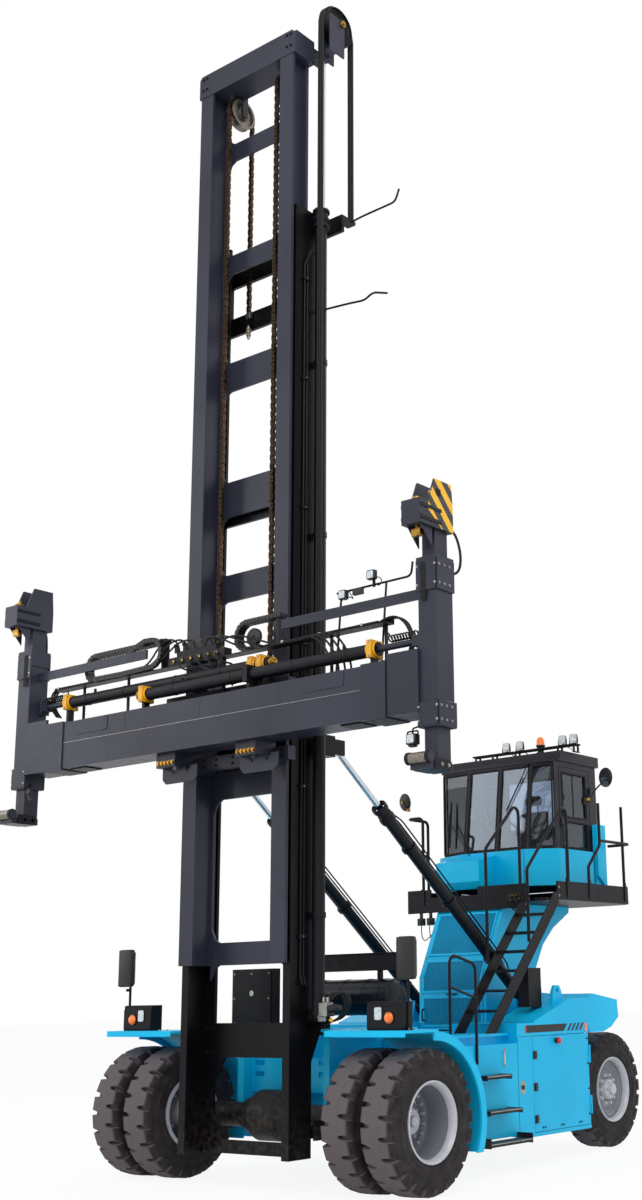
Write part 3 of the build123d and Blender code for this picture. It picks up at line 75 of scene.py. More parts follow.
def addBox(bm, x0, x1, y0, y1, z0, z1):
    spot, size = ((x0 + x1) / 2, (y0 + y1) / 2, (z0 + z1) / 2), (x1 - x0, y1 - y0, z1 - z0, 1)
    bmesh.ops.create_cube(bm, size=1, matrix=Matrix.Translation(spot) @ Matrix.Diagonal(size))


def addRod(bm, start, end, radius, endRadius=None, sides=20):
    a, b = Vector(start), Vector(end)
    place = Matrix.Translation((a + b) / 2) @ (b - a).to_track_quat("Z", "Y").to_matrix().to_4x4()
    bmesh.ops.create_cone(bm, cap_ends=True, segments=sides, radius1=radius,
        radius2=radius if endRadius is None else endRadius, depth=(b - a).length, matrix=place)


def addPrism(bm, outline, axis, low, high):
    at, count = "xyz".index(axis), len(outline)
    near, far = [[bm.verts.new((*spot[:at], level, *spot[at:])) for spot in outline]
        for level in (low, high)]
    bm.faces.new(near)
    bm.faces.new(far[::-1])
    for i in range(count):
        k = (i + 1) % count
        bm.faces.new((near[i], far[i], far[k], near[k]))


def addLathe(bm, centre, axis, profile, sides):
    centre, axis = Vector(centre), Vector(axis).normalized()
    across = axis.orthogonal().normalized()
    other = axis.cross(across)
    rings = []
    for i in range(sides):
        angle = 2 * math.pi * i / sides
        out = across * math.cos(angle) + other * math.sin(angle)
        rings.append([bm.verts.new(centre + axis * along + out * radius) for along, radius in profile])
    for i in range(sides):
        here, there = rings[i], rings[(i + 1) % sides]
        for k in range(len(profile)):
            m = (k + 1) % len(profile)
            bm.faces.new((here[k], here[m], there[m], there[k]))


def addRing(bm, centre, axis, low, high, inner, outer, sides):
    addLathe(bm, centre, axis, ((low, inner), (low, outer), (high, outer), (high, inner)), sides)


def span(side, near, far):
    return sorted((side * near, side * far))


def handOver(piece, body, replaced):
    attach(piece, body)
    if replaced:
        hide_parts(*replaced)
    return piece


def makePiece(name, bm, material, body="chassis", replaced=(), bevel=0.0, angle=35):
    bmesh.ops.recalc_face_normals(bm, faces=bm.faces)
    bmesh.ops.translate(bm, vec=(0, axleY, 0), verts=bm.verts)
    mesh = bpy.data.meshes.new(name)
    bm.to_mesh(mesh)
    bm.free()
    return settle(name, mesh, material, body, replaced, bevel, angle)


def drawn(draw, *values, **settings):
    bm = bmesh.new()
    draw(bm, *values, **settings)
    return bm


def settle(name, mesh, material, body, replaced, bevel, angle):
    mesh.materials.append(material)
    mesh.shade_smooth()
    mesh.set_sharp_from_angle(angle=math.radians(angle))
    piece = bpy.data.objects.new(name, mesh)
    bpy.context.scene.collection.objects.link(piece)
    if bevel:
        edges = piece.modifiers.new("edges", "BEVEL")
        edges.width, edges.segments = bevel, 2
        edges.limit_method, edges.angle_limit = "ANGLE", math.radians(40)
    return handOver(piece, body, replaced)


def stamp(name, template, places, material, body, replaced=()):
    template.verts.ensure_lookup_table()
    points = np.array([v.co for v in template.verts])
    faces = [[v.index for v in f.verts] for f in template.faces]
    template.free()
    turned = [(np.array(place)[:3, :3], np.array(place)[:3, 3]) for place in places]
    every = np.concatenate([points @ turn.T + shift + np.array((0, axleY, 0)) for turn, shift in turned])
    allFaces = [[i + k * len(points) for i in face] for k in range(len(places)) for face in faces]
    mesh = bpy.data.meshes.new(name)
    mesh.from_pydata(every.tolist(), [], allFaces)
    return settle(name, mesh, material, body, replaced, 0, 35)


def placeAxes(spot, *axes):
    return Matrix.Translation(spot) @ Matrix(axes).transposed().to_4x4()


def facing(spot, direction, spin):
    turn = Vector(direction).to_track_quat("Z", "Y").to_matrix().to_4x4()
    return Matrix.Translation(spot) @ turn @ Matrix.Rotation(spin, 4, "Z")


def boltTemplate(across, height):
    washer = 1.35
    bm = bmesh.new()
    addRod(bm, (0, 0, 0), (0, 0, height * 0.25), across * washer / 2, sides=12)
    addRod(bm, (0, 0, height * 0.25), (0, 0, height), across / 2, across / 2 * 0.94, sides=6)
    bm.verts.index_update()
    return bm


def curvePiece(name, runs, radius, material, body="chassis", bend=None, replaced=()):
    smooth = bend is None
    data = bpy.data.curves.new(name, "CURVE")
    data.dimensions = "3D"
    data.bevel_depth = radius
    data.bevel_resolution = 3
    data.resolution_u = 8
    data.use_fill_caps = True
    for run in runs:
        points = run if smooth else roundCorners(run, bend)
        line = data.splines.new("NURBS" if smooth else "POLY")
        line.points.add(len(points) - 1)
        for p, spot in zip(line.points, points):
            p.co = (spot[0], spot[1] + axleY, spot[2], 1)
        if smooth:
            line.order_u = min(4, len(points))
            line.use_endpoint_u = True
    data.materials.append(material)
    piece = bpy.data.objects.new(name, data)
    bpy.context.scene.collection.objects.link(piece)
    return handOver(piece, body, replaced)


def roundCorners(points, bend):
    points = [Vector(p) for p in points]
    out = [points[0]]
    for a, b, c in zip(points, points[1:], points[2:]):
        u, v = (a - b).normalized(), (c - b).normalized()
        reach = min(bend, (a - b).length * 0.49, (c - b).length * 0.49)
        start, end = b + u * reach, b + v * reach
        for i in range(7):
            t = i / 6
            out.append(start * (1 - t) ** 2 + b * 2 * t * (1 - t) + end * t ** 2)
    return out + [points[-1]]


# materials

def srgb(hexText):
    parts = [int(hexText[i:i + 2], 16) / 255 for i in (0, 2, 4)]
    return tuple(c / 12.92 if c <= 0.04045 else ((c + 0.055) / 1.055) ** 2.4 for c in parts) + (1.0,)


def addNode(tree, kind, inputs=None, **settings):
    node = tree.nodes.new("ShaderNode" + kind)
    for key, value in settings.items():
        setattr(node, key, value)
    for key, value in (inputs or {}).items():
        if isinstance(value, bpy.types.NodeSocket):
            tree.links.new(value, node.inputs[key])
        else:
            node.inputs[key].default_value = value
    return node


def noise(tree, place, millimetres, detail, rough=0.5):
    return addNode(tree, "TexNoise", {"Vector": place, "Scale": 1000 / millimetres, "Detail": detail,
        "Roughness": rough}).outputs["Fac"]


def maths(tree, operation, *values, clamp=False):
    return addNode(tree, "Math", dict(enumerate(values)), operation=operation, use_clamp=clamp).outputs[0]


def mapRange(tree, value, fromLow, fromHigh, toLow=0.0, toHigh=1.0):
    return addNode(tree, "MapRange", {"Value": value, "From Min": fromLow, "From Max": fromHigh,
        "To Min": toLow, "To Max": toHigh}).outputs[0]


def mixColour(tree, factor, low, high):
    return addNode(tree, "Mix", {"Factor": factor, "A": low, "B": high}, data_type="RGBA").outputs["Result"]


def mixShaders(tree, factor, low, high):
    return addNode(tree, "MixShader", {0: factor, 1: low, 2: high}).outputs[0]


def blendColours(tree, factor, low, high, first=0.35, second=0.65):
    return mixColour(tree, mapRange(tree, factor, first, second), srgb(low), srgb(high))


def startMaterial(name, constants):
    material = bpy.data.materials.new(name)
    material.use_nodes = True
    tree = material.node_tree
    shader = tree.nodes["Principled BSDF"]
    for key, value in constants.items():
        shader.inputs[key].default_value = value
    return material, tree, shader, addNode(tree, "TexCoord").outputs["Object"]


def finishShader(tree, shader, colour, rough, height, strength, distance=0.002):
    bump = addNode(tree, "Bump", {"Height": height, "Strength": strength, "Distance": distance}).outputs[0]
    for socket, source in (("Base Color", colour), ("Roughness", rough), ("Normal", bump)):
        tree.links.new(source, shader.inputs[socket])


def coatedSteel(name, colour, shade, rough, coat=0.0, shine=0.5, dust=0.5, cloudMm=900, peelMm=5, peel=0.04,
        dustColour="8a7d6b"):
    material, tree, shader, place = startMaterial(name, {"Coat Weight": coat, "Coat Roughness": 0.06,
        "IOR": 1.5, "Specular IOR Level": shine})
    paint = blendColours(tree, noise(tree, place, cloudMm, 3), shade, colour)
    grime = noise(tree, place, 60, 5, 0.62)
    height = addNode(tree, "SeparateXYZ", {"Vector": place}).outputs["Z"]
    amount = maths(tree, "MULTIPLY", mapRange(tree, height, 1.1, 0.0, 0.0, dust),
        mapRange(tree, grime, 0.42, 0.78))
    finishShader(tree, shader, mixColour(tree, amount, paint, srgb(dustColour)),
        mapRange(tree, grime, 0.3, 0.75, rough, rough + 0.14), noise(tree, place, peelMm, 2), peel)
    return material


def bareMetal(name, colour, stain, rough, blotMm=45, bump=0.05):
    material, tree, shader, place = startMaterial(name, {"Metallic": 1.0})
    streak = noise(tree, place, 3, 3)
    tint = blendColours(tree, noise(tree, place, blotMm, 4, 0.6), colour, stain, 0.45, 0.72)
    finishShader(tree, shader, tint, mapRange(tree, streak, 0.3, 0.7, rough, rough + 0.15), streak, bump,
        0.001)
    return material


def mouldedRubber(name, colour, dust, rough, bump, grainMm=6, tread=None):
    material, tree, shader, place = startMaterial(name, {"Specular IOR Level": 0.35})
    broad = noise(tree, place, 130, 5, 0.65)
    shown = blendColours(tree, broad, colour, dust, 0.38, 0.72)
    if tread:  # the running surface, which faces away from the axle, is dustier than the sidewalls
        normal = addNode(tree, "NewGeometry").outputs["Normal"]
        across = addNode(tree, "SeparateXYZ", {"Vector": normal}).outputs["X"]
        share = mapRange(tree, maths(tree, "ABSOLUTE", across), 0.25, 0.6, 0.8, 0.0)
        shown = mixColour(tree, share, shown, srgb(tread))
    finishShader(tree, shader, shown, mapRange(tree, broad, 0.0, 1.0, rough, 0.95),
        noise(tree, place, grainMm, 4, 0.6), bump)
    return material


def clearPane(name, tint, mirror, film):
    material, tree, shader, place = startMaterial(name, {})
    tree.nodes.remove(shader)
    seeThrough = addNode(tree, "BsdfTransparent", {"Color": srgb(tint)}).outputs[0]
    gloss = addNode(tree, "BsdfGlossy", {"Color": (0.9, 0.95, 1, 1), "Roughness": 0.03}).outputs[0]
    haze = addNode(tree, "BsdfDiffuse", {"Color": srgb("9aa4a8")}).outputs[0]
    rim = addNode(tree, "Fresnel", {"IOR": 1.5}).outputs[0]
    glass = mixShaders(tree, maths(tree, "ADD", rim, mirror, clamp=True), seeThrough, gloss)
    dusty = mapRange(tree, noise(tree, place, 220, 4), 0.3, 0.8, 0.02, film)
    tree.links.new(mixShaders(tree, dusty, glass, haze), tree.nodes["Material Output"].inputs["Surface"])
    return material


def mouldedPlastic(name, colour, shade, rough, coat=0.0, glow=0.0, ribsPerMetre=0, bump=0.1):
    material, tree, shader, place = startMaterial(name,
        {"IOR": 1.5, "Coat Weight": coat, "Emission Strength": glow, "Emission Color": srgb(colour)})
    mottled = noise(tree, place, 40, 3)
    height = mottled
    if ribsPerMetre:
        height = addNode(tree, "TexWave", {"Vector": place, "Scale": ribsPerMetre / 6.28,
            "Distortion": 0.0}, bands_direction="Z").outputs["Fac"]
    finishShader(tree, shader, blendColours(tree, mottled, shade, colour),
        mapRange(tree, mottled, 0.0, 1.0, rough, rough + 0.1), height, bump)
    return material


def wovenFabric(name, colour, shade, threadMm):
    material, tree, shader, place = startMaterial(name, {"Sheen Weight": 0.35, "Sheen Roughness": 0.5})
    threads = [addNode(tree, "TexWave", {"Vector": place, "Scale": 1000 / threadMm / 6.28,
        "Distortion": 0.4}, bands_direction=way).outputs["Fac"] for way in "XZ"]
    cloth = maths(tree, "MAXIMUM", *threads)
    tint = blendColours(tree, noise(tree, place, 90, 3), shade, colour)
    finishShader(tree, shader, tint, mapRange(tree, cloth, 0.0, 1.0, 0.95, 0.75), cloth, 0.4, 0.0015)
    return material


def stripedPaint(name, dark, pale, pitch, direction):
    material, tree, shader, place = startMaterial(name, {"IOR": 1.5})
    along = addNode(tree, "VectorMath", {0: place, 1: direction}, operation="DOT_PRODUCT").outputs["Value"]
    step = maths(tree, "GREATER_THAN", maths(tree, "FRACT", maths(tree, "MULTIPLY", along, 1 / pitch)), 0.5)
    chips = noise(tree, place, 22, 5, 0.7)
    pair = mixColour(tree, step, srgb(dark), srgb(pale))
    tree.links.new(mixColour(tree, mapRange(tree, chips, 0.62, 0.7), pair, srgb("6b665c")),
        shader.inputs["Base Color"])
    tree.links.new(mapRange(tree, chips, 0.0, 1.0, 0.3, 0.6), shader.inputs["Roughness"])
    return material


cyan = coatedSteel("sprayedCyanEnamel", "0ac6f4", "06b8e8", 0.34, coat=0.08, shine=0.2, dust=0.14)
# darker copy of the cyan for the recessed grille sheets and ribs: painted shade
cyanPaintedShade = coatedSteel("cyanEnamelPaintedShade", "059bc6", "048cb4", 0.4, shine=0.25, dust=0.2)
mastPaint = coatedSteel("satinSlateEnamel", "303240", "242631", 0.36, coat=0.05, shine=0.25, dust=0.25,
    cloudMm=1600, peel=0.06)
# darker copy of the slate mast paint for the outer mast: painted shade, the same paint reading near black
# where less light falls
mastPaintedShade = coatedSteel("satinSlateEnamelPaintedShade", "0a090d", "070609", 0.32, shine=0.16, dust=0.2,
    cloudMm=1600, peel=0.06)
blackPaint = coatedSteel("satinBlackEnamel", "14141b", "0e0e13", 0.4, shine=0.2, dust=0.25)
cabPaint = coatedSteel("satinGraphiteEnamel", "25252e", "1d1d25", 0.4, shine=0.25, dust=0.0)
tankPaint = coatedSteel("glossBlueBlackEnamel", "04101a", "030c14", 0.22, shine=0.25, dust=0.0)
castIron = coatedSteel("paintedCastIron", "101014", "0b0b0d", 0.5, shine=0.2, dust=0.55, peelMm=14,
    peel=0.25)
rimPaint = coatedSteel("sprayedSilverLacquer", "c4c5ca", "b4b5ba", 0.32, coat=0.2, dust=0.4,
    dustColour="6e675c")
# darker copy of the silver lacquer for the rim dishes: painted shade in the deep dish, with real dust lower
# down
rimDishPaintedShade = coatedSteel("silverLacquerPaintedShade", "84868f", "74767f", 0.38, dust=0.4, dustColour="5a544c")
yellowPaint = coatedSteel("sprayedYellowEnamel", "f0b010", "d99a08", 0.35, dust=0.0)
brass = bareMetal("turnedBrass", "b48a3c", "7c5c26", 0.28)
hardChrome = bareMetal("hardChromedSteel", "d2d4d8", "c4c6ca", 0.08, bump=0.01)
zinc = bareMetal("zincPlatedSteel", "a8a9a6", "8b8a80", 0.34, bump=0.08)
oiledSteel = bareMetal("oiledChainSteel", "5d4b3e", "2e241e", 0.38, blotMm=25, bump=0.1)
wornSteel = bareMetal("rubbedSteel", "8d8780", "5a4c40", 0.36, blotMm=20, bump=0.12)
mirrorGlass = bareMetal("silveredGlass", "c9d3d8", "bcc6cc", 0.03, bump=0.0)
tyreRubber = mouldedRubber("mouldedTyreRubber", "1a1618", "3a3435", 0.75, 0.3, tread="686063")
hoseRubber = mouldedRubber("extrudedHoseRubber", "131314", "1d1c1c", 0.45, 0.1, grainMm=3)
sealRubber = mouldedRubber("extrudedSealRubber", "0c0c0d", "161616", 0.6, 0.1)
blackPlastic = mouldedPlastic("mouldedBlackAbs", "121214", "0c0c0e", 0.45)
# glow gives every amber part a faint painted glow, the side reflector too, which holds no lamp
amberLens = mouldedPlastic("mouldedAmberAcrylic", "ff7a10", "e85f05", 0.12, coat=0.6, glow=0.15,
    ribsPerMetre=400, bump=0.4)
redPlastic = mouldedPlastic("mouldedRedAbs", "c8201c", "a81512", 0.3, coat=0.3)
lampLens = mouldedPlastic("mouldedClearAcrylic", "dfe6ea", "b6bfc6", 0.08, coat=0.8, ribsPerMetre=300,
    bump=0.5)
whitePlastic = mouldedPlastic("mouldedWhiteAbs", "d8d8d4", "c8c8c2", 0.35)
greyTrim = mouldedPlastic("mouldedGreyTrim", "46474a", "3a3b3e", 0.55)
windowGlass = clearPane("floatGlass", "d6dde6", 0.02, 0.03)
seatCloth = wovenFabric("wovenPolyester", "2a2b2e", "1d1e20", 6)
seatPiping = wovenFabric("wovenPiping", "3c3d41", "2c2d30", 5)
hazard = stripedPaint("stripedHazardEnamel", "24232b", "f5b80c", 0.155, (0.0, 0.72, 0.69))

nodeFinish = {
    cyan: ["chassis_frame", "locker_door_left", "locker_door_right", "deck_plates", "counterweight",
        "front_fenders", "pedestal", "cab_base", "door_panel"],
    # the outer mast takes the painted-shade copy of the mast paint
    mastPaintedShade: ["outer_mast"],
    mastPaint: ["inner_mast", "carriage", "spreader_tube", "arm_left", "arm_right", "leg_left",
        "leg_right"],
    blackPaint: ["platform", "stairs", "handrails", "side_fittings", "front_fittings", "roof_lamps",
        "spreader_gear", "lift_barrels", "tilt_barrel_left", "tilt_barrel_right"],
    cabPaint: ["cab_shell", "cab_door"],
    castIron: ["front_axle", "rear_axle", "knuckle_left", "knuckle_right", "engine_block"],
    rimPaint: ["rim_rear_left", "rim_rear_right", "rims_front_left", "rims_front_right"],
    hardChrome: ["lift_rods", "tilt_rod_left", "tilt_rod_right"],
    oiledSteel: ["chains_front", "chains_rear"], wornSteel: ["sheaves"],
    brass: ["twistlock_left", "twistlock_right"],
    tyreRubber: ["tyre_rear_left", "tyre_rear_right", "tyres_front_left", "tyres_front_right"],
    hoseRubber: ["hoses_front", "hoses_rear"], windowGlass: ["cab_glass", "door_glass"],
    blackPlastic: ["cab_controls"], seatCloth: ["seat"]}
for finish, names in nodeFinish.items():
    for name in names:
        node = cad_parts[name]
        node.data.materials.clear()
        node.data.materials.append(finish)
print("materials set on", sum(map(len, nodeFinish.values())), "nodes")


# light and floor

light = {
    "sky": "f1f3f6", "skyStrength": 0.78, "floor": "f6f6f5", "floorWhite": 0.9,
    "lamps": (("keyLamp", (9, -12, 15), 10, 1250), ("fillLamp", (-12, -10, 9), 9, 420),
        ("backLamp", (4, 14, 14), 9, 500))}


def plainRays(tree, share):
    path = addNode(tree, "LightPath").outputs
    both = maths(tree, "ADD", path["Is Camera Ray"], path["Is Transmission Ray"])
    return maths(tree, "MULTIPLY", maths(tree, "ADD", both, path["Is Glossy Ray"], clamp=True), share)


def setLight():
    world = bpy.data.worlds.new("paleRoom")
    bpy.context.scene.world = world
    world.use_nodes = True
    tree = world.node_tree
    ground = tree.nodes["Background"]
    ground.inputs["Color"].default_value = srgb(light["sky"])
    ground.inputs["Strength"].default_value = light["skyStrength"]
    white = addNode(tree, "Background", {"Color": (1, 1, 1, 1), "Strength": 1.0}).outputs[0]
    tree.links.new(mixShaders(tree, plainRays(tree, 1.0), ground.outputs[0], white),
        tree.nodes["World Output"].inputs["Surface"])
    for name, spot, size, power in light["lamps"]:
        lamp = bpy.data.lights.new(name, "AREA")
        lamp.size = size
        lamp.energy = power
        holder = bpy.data.objects.new(name, lamp)
        holder.location = spot
        holder.rotation_euler = (Vector((0, 0, 4)) - Vector(spot)).to_track_quat("-Z", "Y").to_euler()
        bpy.context.scene.collection.objects.link(holder)
    mesh = bpy.data.meshes.new("studioFloor")
    half = 90
    mesh.from_pydata([(-half, -half, 0), (half, -half, 0), (half, half, 0), (-half, half, 0)], [],
        [(0, 1, 2, 3)])
    floorPaint, tree, shader, place = startMaterial("paleFloor", {"Roughness": 0.9})
    tree.links.new(blendColours(tree, noise(tree, place, 4000, 2), light["floor"], "fafafa"),
        shader.inputs["Base Color"])
    shine = addNode(tree, "Emission", {"Color": (1, 1, 1, 1), "Strength": 1.0}).outputs[0]
    mixed = mixShaders(tree, plainRays(tree, light["floorWhite"]), shader.outputs[0], shine)
    tree.links.new(mixed, tree.nodes["Material Output"].inputs["Surface"])
    mesh.materials.append(floorPaint)
    floor = bpy.data.objects.new("studioFloor", mesh)
    bpy.context.scene.collection.objects.link(floor)
    bpy.context.scene.view_settings.view_transform = "Standard"


setLight()


# wheels

wheel = {
    "hubZ": 0.672, "wheelbase": 4.65, "tyreWidth": 0.375, "frontOuterX": 2.05, "dualGap": 0.11,
    "rearOuterX": 1.26, "lugs": 22, "rimRadius": 0.355,
    "sidewall": ((0.15, 0.357), (0.166, 0.372), (0.178, 0.392), (0.1835, 0.42), (0.1865, 0.424),
        (0.1865, 0.432), (0.184, 0.436), (0.1865, 0.48), (0.1885, 0.484), (0.1885, 0.49), (0.186, 0.494),
        (0.184, 0.54), (0.176, 0.585), (0.16, 0.6), (0.12, 0.612), (0.072, 0.624), (0.052, 0.6665)),
    "lugRows": ((0.03, 0.6675, 0.64, 0.485), (0.056, 0.6715, 0.63, 0.46), (0.075, 0.6715, 0.622, 0.4),
        (0.13, 0.669, 0.606, 0.36), (0.16, 0.66, 0.594, 0.35), (0.178, 0.638, 0.584, 0.34),
        (0.1868, 0.6, 0.572, 0.32), (0.186, 0.56, 0.552, 0.24)),
    "lugFoot": (0.0, 0.0, 0.002, 0.006, 0.012, 0.018, 0.016, 0.006)}


def tyreMesh(bm, outerX, y, side):
    half = wheel["tyreWidth"] / 2
    centre = Vector((side * (outerX - half), y, wheel["hubZ"]))
    rim = wheel["rimRadius"] + 0.0005
    flank = wheel["sidewall"]
    profile = [(-a, r) for a, r in flank] + [(0.0, 0.6715)] + [(a, r) for a, r in flank[::-1]]
    addLathe(bm, centre, (1, 0, 0), [(-0.15, rim)] + profile + [(0.15, rim)], 88)
    pitch = 2 * math.pi / wheel["lugs"]
    for row, hand in enumerate((1, -1)):
        for i in range(wheel["lugs"]):
            middle = (i + row / 2) * pitch
            rings = []
            for (x, top, foot, wide), inset in zip(wheel["lugRows"], wheel["lugFoot"]):
                sweep = middle + hand * 0.1 * pitch * max(0, x) / half
                ring = []
                for radius, across, spread in ((foot, x - inset, min(wide + 0.03, 0.495)), (top, x, wide)):
                    for turn in (-spread, spread):
                        a = sweep + turn * pitch
                        ring.append(bm.verts.new(centre + Vector((hand * across, math.cos(a) * radius,
                            math.sin(a) * radius))))
                rings.append((ring[0], ring[2], ring[3], ring[1]))
            for here, there in zip(rings, rings[1:]):
                for k in range(3):
                    bm.faces.new((here[k], here[k + 1], there[k + 1], there[k]))
            bm.faces.new(rings[0])
            bm.faces.new(rings[-1][::-1])


def rimLathe(bm, x0, side, y, profile, sides=72):
    addLathe(bm, (side * x0, y, wheel["hubZ"]), (side, 0, 0), profile, sides)


# distances run outward from the tyre's outer face, so most are negative
frontRim = {
    "shell": ((-0.86, 0.331), (-0.86, 0.368), (-0.845, 0.368), (-0.84, 0.3545), (-0.03, 0.3545),
        (-0.022, 0.374), (-0.004, 0.378), (0.002, 0.372), (0.002, 0.364), (-0.012, 0.352), (-0.03, 0.342),
        (-0.05, 0.334)),
    "dish": ((-0.34, 0.333), (-0.34, 0.318), (-0.365, 0.3), (-0.4, 0.292), (-0.425, 0.262), (-0.43, 0.205),
        (-0.455, 0.205), (-0.455, 0.333)),
    "hub": ((-0.45, 0.0), (-0.45, 0.19), (-0.405, 0.19), (-0.4, 0.168), (-0.33, 0.162), (-0.322, 0.15),
        (-0.318, 0.128), (-0.262, 0.12), (-0.252, 0.108), (-0.25, 0.055), (-0.222, 0.05), (-0.215, 0.04),
        (-0.215, 0.0)),
    "nutRadius": 0.268, "nuts": 20, "capBolts": 12, "capRadius": 0.14}
rearRim = {
    "shell": ((-0.367, 0.331), (-0.367, 0.368), (-0.352, 0.368), (-0.347, 0.3545), (-0.03, 0.3545),
        (-0.022, 0.374), (-0.004, 0.378), (0.002, 0.372), (0.002, 0.364), (-0.012, 0.352), (-0.03, 0.342),
        (-0.05, 0.334)),
    "dish": ((-0.1, 0.333), (-0.1, 0.322), (-0.118, 0.3), (-0.125, 0.24), (-0.108, 0.205), (-0.105, 0.13),
        (-0.135, 0.12), (-0.15, 0.12), (-0.15, 0.333)),
    "hub": ((-0.16, 0.0), (-0.16, 0.125), (-0.06, 0.118), (-0.045, 0.108), (-0.035, 0.07), (0.002, 0.062),
        (0.01, 0.05), (0.01, 0.0)),
    "nutRadius": 0.168, "nuts": 10, "capBolts": 6, "capRadius": 0.09}


def buildWheels():
    for side, s in (("left", 1), ("right", -1)):
        bm = bmesh.new()
        for outer in (wheel["frontOuterX"], wheel["frontOuterX"] - wheel["tyreWidth"] - wheel["dualGap"]):
            tyreMesh(bm, outer, 0, s)
        makePiece("luggedTyresFront_" + side, bm, tyreRubber, "wheel_front_" + side,
            ("tyres_front_" + side,), 0.003)
        bm = bmesh.new()
        tyreMesh(bm, wheel["rearOuterX"], wheel["wheelbase"], s)
        makePiece("luggedTyreRear_" + side, bm, tyreRubber, "wheel_rear_" + side,
            ("tyre_rear_" + side,), 0.003)
        for label, rim, outer, y, body, node in (("Front", frontRim, wheel["frontOuterX"], 0,
                "wheel_front_", "rims_front_"), ("Rear", rearRim, wheel["rearOuterX"], wheel["wheelbase"],
                "wheel_rear_", "rim_rear_")):
            makePiece("rimBarrel" + label + "_" + side, drawn(rimLathe, outer, s, y, rim["shell"]),
                rimPaint, body + side, (node + side,), angle=30)
            # the dish takes the darker silver: painted shade in the wheel's recess
            bm = bmesh.new()
            rimLathe(bm, outer, s, y, rim["dish"])
            addRing(bm, (s * outer, y, wheel["hubZ"]), (s, 0, 0), rim["dish"][0][0] + 0.01, -0.075, 0.3295,
                0.3308, 72)
            makePiece("rimDish" + label + "_" + side, bm, rimDishPaintedShade, body + side, angle=30)
            bm = bmesh.new()
            rimLathe(bm, outer, s, y, rim["hub"], 48)
            if label == "Front":
                addRod(bm, (s * 1.1003, y, wheel["hubZ"]), (s * 1.61, y, wheel["hubZ"]), 0.14)
            makePiece("hub" + label + "_" + side, bm, rimPaint, body + side, angle=30)
            faceX = {"Front": -0.43, "Rear": -0.108}[label]
            capX = {"Front": -0.318, "Rear": -0.052}[label]
            for kind, count, radius, x, size in (("nuts", rim["nuts"], rim["nutRadius"], faceX, 0.036),
                    ("capBolts", rim["capBolts"], rim["capRadius"], capX, 0.018)):
                places = []
                for i in range(count):
                    a = 2 * math.pi * i / count
                    spot = (s * (outer + x), y + math.cos(a) * radius, wheel["hubZ"] + math.sin(a) * radius)
                    places.append(facing(spot, (s, 0, 0), a))
                stamp(kind + label + "_" + side, boltTemplate(size, size), places,
                    zinc if kind == "capBolts" else rimPaint, body + side)
            if label == "Front":  # clamp ring whose teeth sit between the nuts
                bm = bmesh.new()
                for i in range(rim["nuts"]):
                    a = 2 * math.pi * (i + 0.5) / rim["nuts"]
                    ring = []
                    for r, t in ((0.322, -0.055), (0.322, 0.055), (0.285, 0.03), (0.285, -0.03)):
                        ring.append((y + math.cos(a + t) * r, wheel["hubZ"] + math.sin(a + t) * r))
                    addPrism(bm, ring, "x", *span(s, outer - 0.385, outer - 0.345))
                makePiece("rimClamps_" + side, bm, rimPaint, "wheel_front_" + side,
                    bevel=0.003)


buildWheels()
print("wheels built")


# mast: leaf chains, pins, rollers and bolts

mast = {
    "half": 0.762, "rearY": -0.287, "topZ": 10.5, "innerFrontY": -0.674, "beamTopZ": 12.73, "chainX": 0.39,
    "sheaveY": -0.36, "sheaveZ": 12.225, "chainRun": 0.191, "anchorZ": 9.6, "carriageTopZ": 5.0,
    "liftX": 0.862, "liftY": -0.3, "clampZ": (2.4, 3.9, 5.4, 6.9, 8.4, 9.6),
    "hoseX": 0.95, "hoseY": -0.15, "hoseZ": 12.96, "hoseWheel": 0.25}
xAxis, yAxis = Vector((1, 0, 0)), Vector((0, 1, 0))
chainLink = {
    "pitch": 0.0508, "plateHeight": 0.042, "plateThick": 0.005,
    "plates": (-0.022, -0.0135, -0.005, 0.005, 0.0135, 0.022),
    "pin": 0.009}


def linkTemplate(offset):
    bm = bmesh.new()
    half, reach = chainLink["plateHeight"] / 2, chainLink["pitch"] / 2
    outline = []
    for end in (1, -1):
        for k in range(5):
            a = math.radians(45 * k)
            outline.append((end * math.cos(a) * half, end * (reach + math.sin(a) * half * 0.9)))
    for k, x in enumerate(chainLink["plates"]):
        if k % 2 == offset:
            addPrism(bm, outline, "x", x - chainLink["plateThick"] / 2, x + chainLink["plateThick"] / 2)
    addRod(bm, (-0.029, 0, reach), (0.029, 0, reach), chainLink["pin"], sides=10)
    bm.verts.index_update()
    bmesh.ops.recalc_face_normals(bm, faces=bm.faces)
    return bm


def alongPath(points, step):
    places = []
    spots = [Vector(p) for p in points]
    carry = 0.0
    for a, b in zip(spots, spots[1:]):
        run = (b - a).length
        along = (b - a) / run
        at = carry
        while at < run:
            places.append((a + along * at, along))
            at += step
        carry = at - run
    return places


